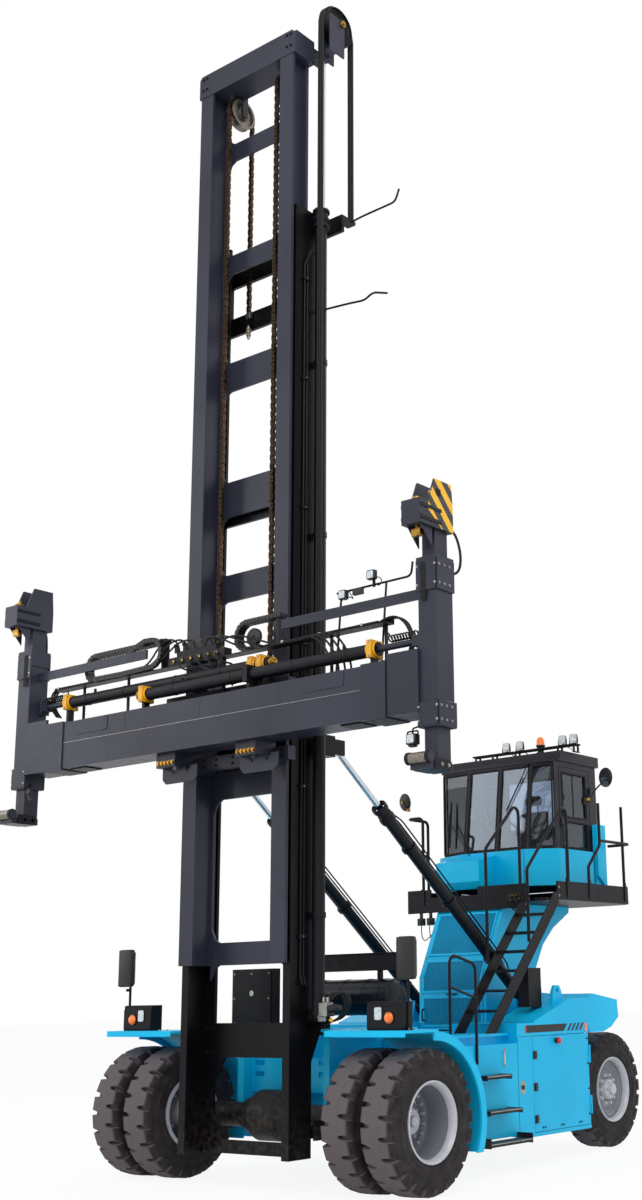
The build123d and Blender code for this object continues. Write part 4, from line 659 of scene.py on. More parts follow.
def buildChains():
    for label, side, body in (("Front", -1, "inner_stage"), ("Rear", 1, "mast")):
        y = mast["sheaveY"] + side * mast["chainRun"]
        for s in (1, -1):
            x = s * mast["chainX"]
            if side < 0:
                points = [(x, y, mast["carriageTopZ"] + 0.12), (x, y, mast["sheaveZ"])]
                for k in range(1, 12):
                    a = math.pi * (1 - k / 12)
                    points.append((x, mast["sheaveY"] + math.cos(a) * mast["chainRun"],
                        mast["sheaveZ"] + math.sin(a) * mast["chainRun"]))
                points.append((x, mast["sheaveY"] + mast["chainRun"], mast["sheaveZ"]))
            else:
                points = [(x, y, mast["anchorZ"] + 0.02), (x, y, mast["sheaveZ"])]
            runs = alongPath(points, chainLink["pitch"])
            for offset in (0, 1):
                places = [placeAxes(spot, xAxis, along.cross(xAxis), along)
                    for spot, along in runs[offset::2]]
                stamp("leafChain" + label + "_" + ("left" if s > 0 else "right") + "_" + "ab"[offset],
                    linkTemplate(offset), places, oiledSteel, body,
                    ("chains_" + label.lower(),) if s > 0 and not offset else ())


buildChains()


def boltRow(name, spots, direction, across, body="chassis", material=zinc, height=0.6):
    places = [facing(spot, direction, 0.3 * k) for k, spot in enumerate(spots)]
    return stamp(name, boltTemplate(across, across * height), places, material, body)


def buildMast():
    crossZ = [(0.32, 0.45), (1.25, 1.59), (4.2, 4.5), (7.0, 7.25)]
    spots = [(s * x, mast["rearY"] - 0.036, z) for z0, z1 in crossZ for z in (z0 + 0.05, z1 - 0.05)
        for s in (1, -1) for x in (0.6, 0.66)]
    boltRow("mastCrossBolts", spots, (0, -1, 0), 0.026, "mast", material=blackPaint)
    spots = []
    for side in (1, -1):
        for z in np.arange(2.3, 12.3, 0.5):
            spots.append((side * 0.745, mast["innerFrontY"] + 0.02, float(z)))
    boltRow("columnPlugs", spots, (1, 0, 0), 0.02, "inner_stage", material=blackPaint,
        height=0.3)
    bm = bmesh.new()
    for s in (1, -1):  # head collars, clamp rings and their brackets
        for z0, z1, r in ((10.28, 10.31, 0.098), (10.36, 10.4, 0.094), (10.47, 10.5, 0.098)):
            addRing(bm, (s * mast["liftX"], mast["liftY"], 0), (0, 0, 1), z0, z1, 0.075, r, 40)
        for z in (1.66, 2.6, 4.6, 6.6, 8.6):
            addRing(bm, (s * mast["liftX"], mast["liftY"], 0), (0, 0, 1), z, z + 0.06, 0.064, 0.076, 36)
            y0 = mast["liftY"] - 0.03
            addBox(bm, *span(s, mast["half"] - 0.002, mast["liftX"] - 0.06), y0, y0 + 0.06, z, z + 0.06)
    makePiece("cylinderCollars", bm, blackPaint, "mast", bevel=0.003)
    spots = []
    for s in (1, -1):
        for k in range(8):
            a = math.pi / 4 * k
            spots.append((s * mast["liftX"] + math.cos(a) * 0.084, mast["liftY"] + math.sin(a) * 0.084,
                10.5))
    boltRow("cylinderHeadBolts", spots, (0, 0, 1), 0.018, "mast", height=0.8)
    bm = bmesh.new()
    for z in (10.06, 10.2):  # guide rollers at the right side of the outer mast
        addRod(bm, (-0.775, -0.5, z), (-0.815, -0.5, z), 0.038, sides=28)
        addRod(bm, (-0.762, -0.5, z), (-0.83, -0.5, z), 0.014, sides=14)
    makePiece("sideRollers", bm, zinc, "mast", bevel=0.002)
    bm = bmesh.new()
    for s in (1, -1):  # chain anchors: threaded ends, nuts and a clevis
        x, y, z = s * mast["chainX"], mast["sheaveY"] + mast["chainRun"], mast["anchorZ"]
        addBox(bm, x - 0.034, x + 0.034, y - 0.022, y + 0.022, z - 0.01, z + 0.07)
        addRod(bm, (x, y, z - 0.26), (x, y, z), 0.017)
        for down in (0.12, 0.16, 0.2):
            addRod(bm, (x, y, z - down - 0.024), (x, y, z - down), 0.031, sides=6)
    makePiece("chainAnchors", bm, wornSteel, "mast", bevel=0.003)
    bm = bmesh.new()
    for s in (1, -1):
        x, y = s * mast["chainX"], mast["sheaveY"] - mast["chainRun"]
        addBox(bm, x - 0.04, x + 0.04, y - 0.026, y + 0.026, 5.06, 5.16)
        addRod(bm, (x, y, 4.9), (x, y, 5.06), 0.02)
    makePiece("carriageAnchors", bm, wornSteel, "carriage_stage", bevel=0.003)
    bm = bmesh.new()
    for s in (1, -1):  # eye bolts on the top beam
        addLathe(bm, (s * 0.5, -0.5, mast["beamTopZ"] + 0.03), (0, 1, 0),
            [(0.012 * math.cos(a), 0.028 + 0.012 * math.sin(a)) for a in (0, 1.05, 2.09, 3.14, 4.19, 5.24)],
            24)
    makePiece("beamEyes", bm, blackPaint, "inner_stage")
    spots = [(s * x, -0.68, z) for s in (1, -1) for x in (0.72, 0.66) for z in (12.53, 12.68)]
    boltRow("beamBolts", spots, (0, -1, 0), 0.026, "inner_stage", material=blackPaint)


buildMast()


def sheaveDisc(bm, x, y, z, wide, radius, bore):
    rim = radius * 0.1
    addLathe(bm, (x, y, z), (1, 0, 0), ((-wide / 2, bore), (-wide / 2, radius * 0.42),
        (-wide * 0.18, radius * 0.46), (-wide * 0.18, radius * 0.8), (-wide / 2, radius * 0.84),
        (-wide / 2, radius), (-wide * 0.38, radius), (-wide * 0.22, radius - rim),
        (wide * 0.22, radius - rim), (wide * 0.38, radius), (wide / 2, radius), (wide / 2, radius * 0.84),
        (wide * 0.18, radius * 0.8), (wide * 0.18, radius * 0.46), (wide / 2, radius * 0.42),
        (wide / 2, bore)), 64)


def buildSheaves():
    bm = bmesh.new()
    for s in (1, -1):
        sheaveDisc(bm, s * mast["chainX"], mast["sheaveY"], mast["sheaveZ"], 0.1, 0.188, 0.0305)
    makePiece("chainSheaves", bm, wornSteel, "inner_stage", ("sheaves",))
    bm = bmesh.new()
    for x in (0.92, 0.96):
        sheaveDisc(bm, x, mast["hoseY"], mast["hoseZ"], 0.034, mast["hoseWheel"], 0.0305)
    makePiece("hoseSheaves", bm, blackPaint, "inner_stage")
    bm = bmesh.new()
    addRod(bm, (1.02, mast["hoseY"], mast["hoseZ"]), (1.075, mast["hoseY"], mast["hoseZ"]), 0.04, sides=28)
    addRod(bm, (1.075, mast["hoseY"], mast["hoseZ"]), (1.09, mast["hoseY"], mast["hoseZ"]), 0.022, sides=6)
    makePiece("sheaveHubCap", bm, brass, "inner_stage", bevel=0.003)
    guard = []
    for x in (0.885, 1.0):
        ring = []
        for k in range(9):
            a = math.radians(-40 + 230 * k / 8)
            ring.append((x, mast["hoseY"] + math.cos(a) * 0.235, mast["hoseZ"] + math.sin(a) * 0.235))
        guard.append(ring)
    curvePiece("sheaveGuard", guard, 0.008, blackPaint, "inner_stage")
    front, rear = [], []
    for k in (-1, 0, 1):
        x = mast["hoseX"] + k * 0.03
        run = mast["hoseWheel"] + 0.013
        arc = []
        for i in range(13):
            a = math.pi * (1 - i / 12)
            arc.append((x, mast["hoseY"] + math.cos(a) * run * 0.93,
                mast["hoseZ"] + math.sin(a) * run * 0.9))
        front.append([(x, mast["hoseY"] - run, mast["carriageTopZ"] - 0.04), (x, mast["hoseY"] - run, 9.0),
            (x, mast["hoseY"] - run, mast["hoseZ"] - 0.25), (x, mast["hoseY"] - run, mast["hoseZ"] - 0.08)]
            + arc + [(x, mast["hoseY"] + run, mast["hoseZ"] - 0.08)])
        rear.append([(x, mast["hoseY"] + run, mast["hoseZ"] - 0.08), (x, mast["hoseY"] + run, 11.7),
            (x, mast["hoseY"] + run, mast["topZ"] + 0.01)])
    curvePiece("sheaveHosesFront", front, 0.0125, hoseRubber, "inner_stage",
        replaced=("hoses_front",))
    curvePiece("sheaveHosesRear", rear, 0.0125, hoseRubber, "mast", replaced=("hoses_rear",))


buildSheaves()
print("mast dressed")


# sides: latches, stripe, gauges, bolts and step gratings

flank = {
    "faceX": 1.45, "latchY": 2.655, "latchZ": (1.16, 0.82, 0.48), "boltY": 3.765, "stripeZ": (1.4, 1.48),
    "stripeY": (2.47, 3.27), "slashY": (3.34, 3.425, 3.51, 3.595), "slashWide": 0.042, "slant": 0.075,
    "steps": ((1.49, 1.95, 0.17, 0.984), (1.49, 2.09, 0.2, 0.634), (1.49, 2.27, 0.2, 0.314))}


def addLoop(bm, centre, axis, radius, wire, sides):
    ring = [(wire * math.cos(a), radius + wire * math.sin(a)) for a in np.linspace(0, 2 * math.pi, 9)[:-1]]
    addLathe(bm, centre, axis, ring, sides)


def buildFlanks():
    x = flank["faceX"]
    for label, s in (("left", 1), ("right", -1)):
        body = "locker_" + label
        bm = bmesh.new()
        for z in flank["latchZ"]:
            y = flank["latchY"]
            addBox(bm, *span(s, x, x + 0.007), y - 0.038, y + 0.038, z - 0.045, z + 0.045)
            addBox(bm, *span(s, x + 0.007, x + 0.02), y - 0.028, y + 0.01, z - 0.032, z + 0.032)
            addRod(bm, (s * (x + 0.006), y + 0.022, z), (s * (x + 0.017), y + 0.022, z), 0.012)
        makePiece("doorLatches_" + label, bm, blackPlastic, body, bevel=0.004)
        spots = [(s * x, flank["boltY"], z) for z in (1.3, 1.02, 0.74, 0.46)]
        spots += [(s * x, y + dy, 0.385) for y in (2.8, 3.18, 3.56) for dy in (-0.022, 0.022)]
        boltRow("doorScrews_" + label, spots, (s, 0, 0), 0.018, body, material=blackPaint, height=0.5)
        bm = bmesh.new()
        z0, z1 = flank["stripeZ"]
        y0, y1 = flank["stripeY"]
        lean = flank["slant"]
        addPrism(bm, [(y0 + 0.03, z0), (y1, z0), (y1 + lean, z1), (y0 + 0.03, z1)], "x",
            *span(s, x, x + 0.0015))
        for y in flank["slashY"]:
            wide = flank["slashWide"]
            addPrism(bm, [(y, z0), (y + wide, z0), (y + wide + lean, z1), (y + lean, z1)], "x",
                *span(s, x, x + 0.0015))
        makePiece("stripeFilm_" + label, bm, blackPlastic)
        makePiece("stripeEnd_" + label, drawn(addBox, *span(s, x, x + 0.0016), y0, y0 + 0.03, z0, z1),
            redPlastic, "chassis")
        # the reflector shares the amber parts' painted glow
        makePiece("sideReflector_" + label, drawn(addBox, *span(s, x, x + 0.008), 3.725, 3.775, 1.385,
            1.475), amberLens, "chassis", bevel=0.006)
        # blank data plate with its press button
        makePiece("dataPlate_" + label, drawn(addBox, *span(s, x, x + 0.003), 2.355, 2.445, 0.765, 0.895),
            zinc, "chassis", bevel=0.001)
        makePiece("plateButton_" + label, drawn(addRod, (s * (x + 0.003), 2.4, 0.83),
            (s * (x + 0.012), 2.4, 0.83), 0.026, sides=28), blackPlastic, "chassis", bevel=0.003)
        # level gauge
        makePiece("gaugeBody_" + label, drawn(addBox, *span(s, x, x + 0.01), 2.03, 2.07, 1.065, 1.25), zinc,
            "chassis", bevel=0.006)
        makePiece("gaugeGlass_" + label, drawn(addBox, *span(s, x + 0.009, x + 0.015), 2.042, 2.058, 1.095,
            1.225), lampLens, "chassis", bevel=0.005)
        boltRow("gaugeBolts_" + label, [(s * (x + 0.01), 2.05, z) for z in (1.078, 1.238)], (s, 0, 0),
            0.018, "chassis")
        bm = bmesh.new()  # seams where the side sheets meet
        addBox(bm, *span(s, x, x + 0.0008), 2.312, 2.318, 0.36, 1.36)
        addBox(bm, *span(s, x, x + 0.0008), 2.318, 2.606, 1.362, 1.366)
        makePiece("sheetSeams_" + label, bm, sealRubber, "chassis")
    # battery isolator knob
    makePiece("knobCollar", drawn(addRod, (x, 3.09, 1.3), (x + 0.02, 3.09, 1.3), 0.03, sides=28),
        blackPlastic, "locker_left", bevel=0.003)
    makePiece("isolatorKnob", drawn(addLathe, (x, 3.09, 1.3), (1, 0, 0),
        ((0.018, 0.0), (0.018, 0.018), (0.034, 0.02), (0.04, 0.036), (0.056, 0.036), (0.064, 0.024),
        (0.066, 0.0)), 32), redPlastic, "locker_left")
    bm = bmesh.new()  # bar gratings of the three side steps
    for y0, y1, depth, z in flank["steps"]:
        for k in range(int((y1 - y0) / 0.03)):
            y = y0 + 0.015 + 0.03 * k
            addBox(bm, x + 0.004, x + depth - 0.004, y - 0.0025, y + 0.0025, z, z + 0.012)
        for k in range(5):
            across = x + 0.004 + (depth - 0.008) * k / 4
            addBox(bm, across - 0.003, across + 0.003, y0, y1, z, z + 0.009)
    makePiece("stepGratings", bm, zinc)
    bm = bmesh.new()  # tread plate studs of the stairs, in rows
    for i in range(6):
        t = (i + 1) / 7
        y, z = 1.98 + 1.48 * t, 1.4106 + (2.93 - 1.4106) * t + 0.03
        for k in range(12):
            for m in (-0.07, -0.025, 0.02, 0.065):
                addBox(bm, 0.925 + 0.0345 * k, 0.94 + 0.0345 * k, y + m - 0.008, y + m + 0.008, z - 0.001,
                    z + 0.003)
    makePiece("treadStuds", bm, blackPaint)
    bm = bmesh.new()  # filler caps and vent on the deck
    for cx, cy, z0, r in ((1.0, 3.42, 1.62, 0.055), (0.86, 3.42, 1.62, 0.04)):
        addLathe(bm, (cx, cy, z0), (0, 0, 1), ((0.0, 0.0), (0.0, r * 0.8), (0.2, r * 0.8), (0.205, r),
            (0.255, r), (0.262, r * 0.9), (0.262, 0.0)), 32)
    makePiece("fillerCaps", bm, zinc, bevel=0.002)


buildFlanks()
print("sides dressed")


# front: fender seams, lamp boxes, mirrors, tank and cross member

nose = {
    "lampZ": (1.525, 1.775), "lampX": (1.52, 1.95), "lampY": (-0.33, -0.18), "mirrorX": (1.88, 2.08),
    "mirrorY": -0.325, "mirrorZ": (1.985, 2.375), "poleX": 1.96, "tankY": 1.2, "tankZ": 1.82, "tankR": 0.19,
    "tankX": (-0.48, 0.64)}


def roundedPlate(x0, x1, z0, z1, radius):
    steps, outline = 6, []
    for cx, cz, start in ((x1 - radius, z1 - radius, 0), (x0 + radius, z1 - radius, 90),
            (x0 + radius, z0 + radius, 180), (x1 - radius, z0 + radius, 270)):
        for k in range(steps + 1):
            a = math.radians(start + 90 * k / steps)
            outline.append((cx + math.cos(a) * radius, cz + math.sin(a) * radius))
    return outline


def addPillow(bm, x0, x1, z0, z1, yFace, depth, radius, dome=0.02):
    levels = ((0.0, 0.012), (depth * 0.12, 0.0), (depth * 0.75, 0.0), (depth * 0.93, dome * 0.5),
        (depth, dome * 1.4))
    rings = []
    for along, inset in levels:
        ring = roundedPlate(x0 + inset, x1 - inset, z0 + inset, z1 - inset,
            max(0.004, radius - inset * 0.5))
        rings.append([bm.verts.new((u, yFace + along, v)) for u, v in ring])
    bm.faces.new(rings[0])
    bm.faces.new(rings[-1][::-1])
    for here, there in zip(rings, rings[1:]):
        count = len(here)
        for k in range(count):
            bm.faces.new((here[k], there[k], there[(k + 1) % count], here[(k + 1) % count]))


def buildNose():
    z0, z1 = nose["lampZ"]
    lensSets = {"clear": bmesh.new(), "amber": bmesh.new(), "rim": bmesh.new(), "cover": bmesh.new()}
    for s in (1, -1):
        a, b = nose["lampX"]
        yFace = nose["lampY"][0] - 0.012
        cover = lensSets["cover"]
        outline = [(nose["lampY"][1] + 0.002, z0), (nose["lampY"][0] - 0.006, z0),
            (nose["lampY"][0] - 0.006, z1 - 0.05), (nose["lampY"][0] + 0.03, z1 + 0.004),
            (nose["lampY"][1] + 0.002, z1 + 0.004)]
        for x in (a - 0.004, b - 0.002):
            addPrism(cover, outline, "x", *span(s, x, x + 0.006))
        addBox(cover, *span(s, a - 0.004, b + 0.004), nose["lampY"][0] + 0.02, nose["lampY"][1] + 0.002, z1,
            z1 + 0.006)
        addBox(cover, *span(s, a, b), yFace + 0.002, yFace + 0.014, z0 + 0.004, z1 - 0.04)
        for x0, x1, key, out in ((1.615, 1.715, "rim", 0.004), (1.622, 1.708, "clear", 0.009)):
            trim = 0.0 if key == "rim" else 0.007
            addPrism(lensSets[key], roundedPlate(*span(s, x0, x1), 1.605 + trim, 1.735 - trim, 0.02), "y",
                yFace - out, yFace + 0.004)
        addLathe(lensSets["amber"], (s * 1.8, yFace, 1.63), (0, -1, 0),
            ((0.0, 0.0), (0.0, 0.052), (0.014, 0.052), (0.03, 0.038), (0.038, 0.0)), 32)
        addLathe(lensSets["rim"], (s * 1.8, yFace, 1.63), (0, -1, 0),
            ((-0.004, 0.046), (-0.004, 0.06), (0.006, 0.06), (0.006, 0.046)), 32)
    makePiece("lampCovers", lensSets["cover"], blackPaint, bevel=0.003)
    makePiece("lampRims", lensSets["rim"], blackPlastic)
    makePiece("headLenses", lensSets["clear"], lampLens)
    makePiece("turnLenses", lensSets["amber"], amberLens)
    for label, s in (("left", 1), ("right", -1)):
        bm = bmesh.new()
        x0, x1 = span(s, *nose["mirrorX"])
        addPillow(bm, x0 - 0.006, x1 + 0.006, nose["mirrorZ"][0] - 0.006, nose["mirrorZ"][1] + 0.006,
            nose["mirrorY"] - 0.004, 0.075, 0.045)
        makePiece("mirrorShell_" + label, bm, blackPlastic, angle=50)
        makePiece("mirrorGlass_" + label,
            drawn(addPrism, roundedPlate(x0 + 0.008, x1 - 0.008, nose["mirrorZ"][0] + 0.01,
            nose["mirrorZ"][1] - 0.01, 0.03), "y", nose["mirrorY"] + 0.07, nose["mirrorY"] + 0.0735),
            mirrorGlass)
        bm = bmesh.new()
        addRod(bm, (s * nose["poleX"], -0.25, 1.518), (s * nose["poleX"], -0.25, 1.56), 0.026)
        addBox(bm, *span(s, 1.92, 2.0), -0.29, -0.21, 1.515, 1.524)
        for z in (1.93, 2.05, 2.3):
            addRod(bm, (s * 1.985, -0.262, z), (s * 1.985, -0.262, z + 0.03), 0.022)
        makePiece("mirrorClamps_" + label, bm, blackPaint, bevel=0.003)
        boltRow("mirrorFootBolts_" + label, [(s * (1.96 + dx), -0.25 + dy, 1.524) for dx in (-0.03, 0.03)
            for dy in (-0.03, 0.03)], (0, 0, 1), 0.014, height=0.7)
    bm = bmesh.new()  # tank straps and domed ends
    for x in (-0.34, -0.02, 0.3, 0.52):
        addRing(bm, (x, nose["tankY"], nose["tankZ"]), (1, 0, 0), -0.022, 0.022, nose["tankR"] + 0.0005,
            nose["tankR"] + 0.005, 56)
    for x, d in ((nose["tankX"][0], -1), (nose["tankX"][1], 1)):
        addLathe(bm, (x, nose["tankY"], nose["tankZ"]), (d, 0, 0),
            ((0.0, 0.0), (0.0, 0.182), (0.016, 0.168), (0.032, 0.12), (0.04, 0.0)), 48)
    makePiece("tankStraps", bm, tankPaint, bevel=0.001)
    bm = bmesh.new()  # oval slots as thin black sheets, painted shade standing for the holes, and flanges on the cross member above the tank
    for x in (-0.36, -0.1, 0.16, 0.42):
        outline = [(x + dx * 0.055 + math.cos(a) * 0.032, 2.2 + math.sin(a) * 0.032)
            for dx, a in [(1, math.radians(t)) for t in range(-90, 91, 20)] + [(-1, math.radians(t))
            for t in range(90, 271, 20)]]
        addPrism(bm, outline, "y", 1.1835, 1.1855)
    makePiece("memberSlotShades", bm, sealRubber)
    bm = bmesh.new()
    addBox(bm, -0.56, 0.72, 1.15, 1.186, 2.283, 2.29)
    addBox(bm, -0.56, 0.72, 1.15, 1.186, 2.1, 2.107)
    makePiece("memberFlanges", bm, blackPaint, bevel=0.002)
    spots = [(x, 1.185, z) for x in (-0.53, 0.69) for z in (2.14, 2.25)]
    boltRow("memberBolts", spots, (0, -1, 0), 0.024)
    # tank skin, then the cover plate of the control box
    makePiece("tankSkin", drawn(addRing, (0, nose["tankY"], nose["tankZ"]), (1, 0, 0),
        nose["tankX"][0] - 0.001, nose["tankX"][1] + 0.001, 0.1885, 0.1915, 64), tankPaint, angle=40)
    makePiece("boxCover", drawn(addPrism, roundedPlate(-0.915, -0.345, 1.53, 2.125, 0.03), "y", 0.29,
        0.2998), blackPaint, bevel=0.003)
    boltRow("boxBolts", [(x, 0.29, z) for x in (-0.885, -0.63, -0.375) for z in (1.57, 1.83, 2.09) if (x, z)
        != (-0.63, 1.83)], (0, -1, 0), 0.016, height=0.5)
    makePiece("blankBadge", drawn(addRing, (-0.63, 0.2895, 1.885), (0, -1, 0), 0.0, 0.0015, 0.0, 0.03, 28),
        whitePlastic)
    bm = bmesh.new()  # valve block at the foot of the left lift cylinder, with hoses and a drain cock
    addBox(bm, 0.955, 1.06, -0.4, -0.3, 1.65, 1.78)
    addBox(bm, 0.93, 0.98, -0.385, -0.315, 1.6, 1.66)
    for x, z in ((0.98, 1.8), (1.03, 1.8)):
        addRod(bm, (x, -0.35, z - 0.02), (x, -0.35, z + 0.03), 0.018, sides=6)
    makePiece("valveBlock", bm, zinc, "mast", bevel=0.004)
    bm = bmesh.new()
    addRod(bm, (1.05, -0.35, 1.72), (1.16, -0.35, 1.73), 0.034)
    addRod(bm, (1.16, -0.35, 1.73), (1.2, -0.35, 1.73), 0.026)
    addRod(bm, (1.05, -0.35, 1.67), (1.11, -0.35, 1.67), 0.022)
    makePiece("valveCoils", bm, blackPlastic, "mast", bevel=0.004)
    bm = bmesh.new()
    addRod(bm, (1.075, -0.37, 1.615), (1.115, -0.37, 1.6), 0.014, sides=6)
    addRod(bm, (1.095, -0.37, 1.605), (1.095, -0.37, 1.64), 0.009, sides=12)
    makePiece("drainCock", bm, yellowPaint, "mast", bevel=0.001)
    runs = [[(1.0 + k * 0.03, -0.33, 1.8), (1.02 + k * 0.05, -0.28, 1.9), (1.16 + k * 0.04, -0.22, 1.86),
        (1.12 + k * 0.03, -0.2, 1.66), (0.98, -0.22 + k * 0.02, 1.58), (0.8, -0.24, 1.56 + k * 0.03)]
        for k in range(3)]
    curvePiece("valveHoses", runs, 0.011, hoseRubber, "mast")
    bm = bmesh.new()  # piping beads on the fender lips
    for s in (1, -1):
        addBox(bm, *span(s, 1.16, 2.075), -0.462, -0.455, 1.455, 1.462)
    makePiece("fenderBeads", bm, cyan, "chassis", bevel=0.002)
    spots = [(s * x, -0.3, 1.5153) for s in (1, -1) for x in (1.3, 1.42)]
    boltRow("fenderBolts", spots, (0, 0, 1), 0.02, "chassis")


buildNose()
print("front dressed")


# pedestal: ribbed grille panels with frames, handles and screws

tower = {
    "frontY": 3.08, "bendZ": 2.03, "rise": 0.4933,
    "panels": ((1.45, 1.81), (1.85, 2.24), (2.29, 2.81)),
    "half": 0.45, "ribPitch": 0.026, "ribWide": 0.009, "frame": 0.028}


def towerY(z):
    return tower["frontY"] + max(0.0, z - tower["bendZ"]) * tower["rise"]


def towerStrip(bm, x0, x1, z0, z1, lift, thick):
    levels = [z0] + ([tower["bendZ"]] if z0 < tower["bendZ"] < z1 else []) + [z1]
    near = [(towerY(z) - lift - thick, z) for z in levels]
    far = [(towerY(z) - lift, z) for z in levels]
    addPrism(bm, near + far[::-1], "x", x0, x1)


def buildTower():
    ribs, sheet, frames = bmesh.new(), bmesh.new(), bmesh.new()
    half, edge = tower["half"], tower["frame"]
    for z0, z1 in tower["panels"]:
        towerStrip(sheet, -half, half, z0, z1, 0.0002, 0.0018)
        count = int(2 * (half - edge) / tower["ribPitch"])
        for k in range(count):
            x = -half + edge + 0.012 + k * tower["ribPitch"]
            towerStrip(ribs, x, x + tower["ribWide"], z0 + edge, z1 - edge, 0.002, 0.008)
        towerStrip(frames, -half, half, z1 - edge, z1, 0.0, 0.013)
        towerStrip(frames, -half, half, z0, z0 + edge, 0.0, 0.013)
        towerStrip(frames, -half, -half + edge, z0 + edge, z1 - edge, 0.0, 0.013)
        towerStrip(frames, half - edge, half, z0 + edge, z1 - edge, 0.0, 0.013)
    # sheet and ribs in the darker cyan: painted shade in the recess; the frames keep the plain cyan
    makePiece("grilleSheets", sheet, cyanPaintedShade, "chassis")
    makePiece("grilleRibs", ribs, cyanPaintedShade, "chassis")
    makePiece("grilleFrames", frames, cyan, "chassis", bevel=0.003)
    grips = []
    for x, z in ((0.0, 2.265), (0.0, 1.83)):
        y = towerY(z) - 0.012
        grips.append([(x - 0.06, y + 0.02, z), (x - 0.06, y - 0.035, z), (x + 0.06, y - 0.035, z),
            (x + 0.06, y + 0.02, z)])
    grips.append([(-0.425, 3.09, 1.53), (-0.425, 3.03, 1.53), (-0.425, 3.03, 1.66), (-0.425, 3.09, 1.66)])
    curvePiece("panelGrips", grips, 0.009, blackPaint, bend=0.02)
    spots = [(s * 0.475, towerY(z) - 0.0005, z) for s in (1, -1) for z in (1.5, 1.83, 2.0, 2.27, 2.6, 2.84)]
    boltRow("towerScrews", spots, (0, -1, 0.0), 0.018, height=0.5)
    bm = bmesh.new()  # foot flanges on the deck
    for s in (1, -1):
        addBox(bm, *span(s, 0.5002, 0.54), 3.1, 4.1, 1.42, 1.432)
    addBox(bm, -0.5, 0.5, 3.045, 3.0798, 1.42, 1.432)
    makePiece("towerFoot", bm, cyan, "chassis", bevel=0.002)


buildTower()


# platform: post feet, seams, sensors and fittings under the stair head

deck = {"toeZ": (2.955, 3.118), "walkX": 1.33, "posts": (3.67, 4.18, 5.04), "seams": (3.5, 4.38)}


def buildPlatform():
    bm = bmesh.new()
    z0, z1 = deck["toeZ"]
    for y in deck["posts"]:
        addBox(bm, deck["walkX"] - 0.002, deck["walkX"] + 0.012, y - 0.026, y + 0.026, z0 - 0.02,
            z1 + 0.012)
        addRod(bm, (deck["walkX"] - 0.006, y, z1 - 0.004), (deck["walkX"] - 0.006, y, z1 + 0.05), 0.021)
    for x in (1.0, -0.7):
        y = 5.232 if x > 0 else 3.438
        addBox(bm, x - 0.026, x + 0.026, *sorted((y, y + (0.01 if x > 0 else -0.01))), z0 - 0.02,
            z1 + 0.012)
    makePiece("postFeet", bm, blackPaint, bevel=0.003)
    bm = bmesh.new()
    for y in deck["seams"]:
        addBox(bm, deck["walkX"], deck["walkX"] + 0.001, y - 0.003, y + 0.003, 2.9, 3.12)
    makePiece("toeSeams", bm, sealRubber)
    bm = bmesh.new()
    for x in (-0.75, -0.6):  # proximity sensors below the right front corner
        addBox(bm, x - 0.045, x + 0.045, 3.43, 3.49, 2.68, 2.77)
        addBox(bm, x - 0.018, x + 0.018, 3.445, 3.475, 2.77, 2.834)
        addRod(bm, (x, 3.43, 2.725), (x, 3.415, 2.725), 0.026)
    makePiece("cornerSensors", bm, blackPlastic, bevel=0.004)
    curvePiece("sensorLeads",
        [[(x, 3.46, 2.685), (x, 3.45, 2.56), (x + 0.03, 3.47, 2.47), (x + 0.1, 3.45, 2.5),
        (-0.44, 3.42, 2.66)] for x in (-0.75, -0.62)], 0.006, hoseRubber)
    # hydraulic coupling block
    makePiece("couplingBlock", drawn(addBox, 0.66, 0.86, 3.375, 3.437, 2.9, 3.0), blackPaint, bevel=0.004)
    bm = bmesh.new()
    for x, z in ((0.69, 2.97), (0.74, 2.97), (0.79, 2.97), (0.83, 2.93), (0.71, 2.925), (0.77, 2.925)):
        addRod(bm, (x, 3.376, z), (x, 3.345, z), 0.015, sides=6)
        addRod(bm, (x, 3.346, z), (x, 3.325, z), 0.011, sides=16)
    makePiece("couplings", bm, brass, bevel=0.001)
    runs = [[(x, 3.33, z), (x, 3.29, z - 0.01), (x + 0.02, 3.3, z - 0.1), (x + 0.04, 3.38, z - 0.17),
        (x + 0.02, 3.44, 2.8)] for x, z in ((0.69, 2.97), (0.74, 2.97), (0.79, 2.97), (0.83, 2.93))]
    curvePiece("couplingHoses", runs, 0.01, hoseRubber)
    spots = [(0.965, y, z) for y, z in ((3.3, 2.86), (3.36, 2.92))] + [(1.331, 3.46, z)
        for z in (2.95, 3.05)]
    boltRow("stairHeadBolts", spots, (1, 0, 0), 0.022)
    bm = bmesh.new()  # gratings of the walkway
    for k in range(27):
        y = 3.7 + 0.055 * k
        addBox(bm, 0.985, 1.318, y - 0.003, y + 0.003, 2.93, 2.94)
    for k in range(5):
        x = 0.99 + 0.08 * k
        addBox(bm, x - 0.003, x + 0.003, 3.46, 5.16, 2.93, 2.938)
    makePiece("walkGrating", bm, zinc)


buildPlatform()
print("tower and platform dressed")


# cab: seals, wipers, mirrors, lamps, beacon, door fittings and inner trim

cab = {
    "baseZ": 3.58, "height": 1.15, "glassZ": (3.6, 4.66),
    "low": ((-0.89, 4.14), (-0.4, 3.95), (0.1, 3.95), (0.57, 3.95), (0.89, 4.12)),
    "high": ((-0.89, 4.14), (-0.4, 4.1), (0.1, 4.1), (0.57, 4.1), (0.89, 4.12)),
    "barZ": 4.945, "barY": (4.525, 4.625), "barX": (-0.65, 1.0), "lampX": (-0.1, 0.12, 0.79, 0.96),
    "beaconX": 0.42}


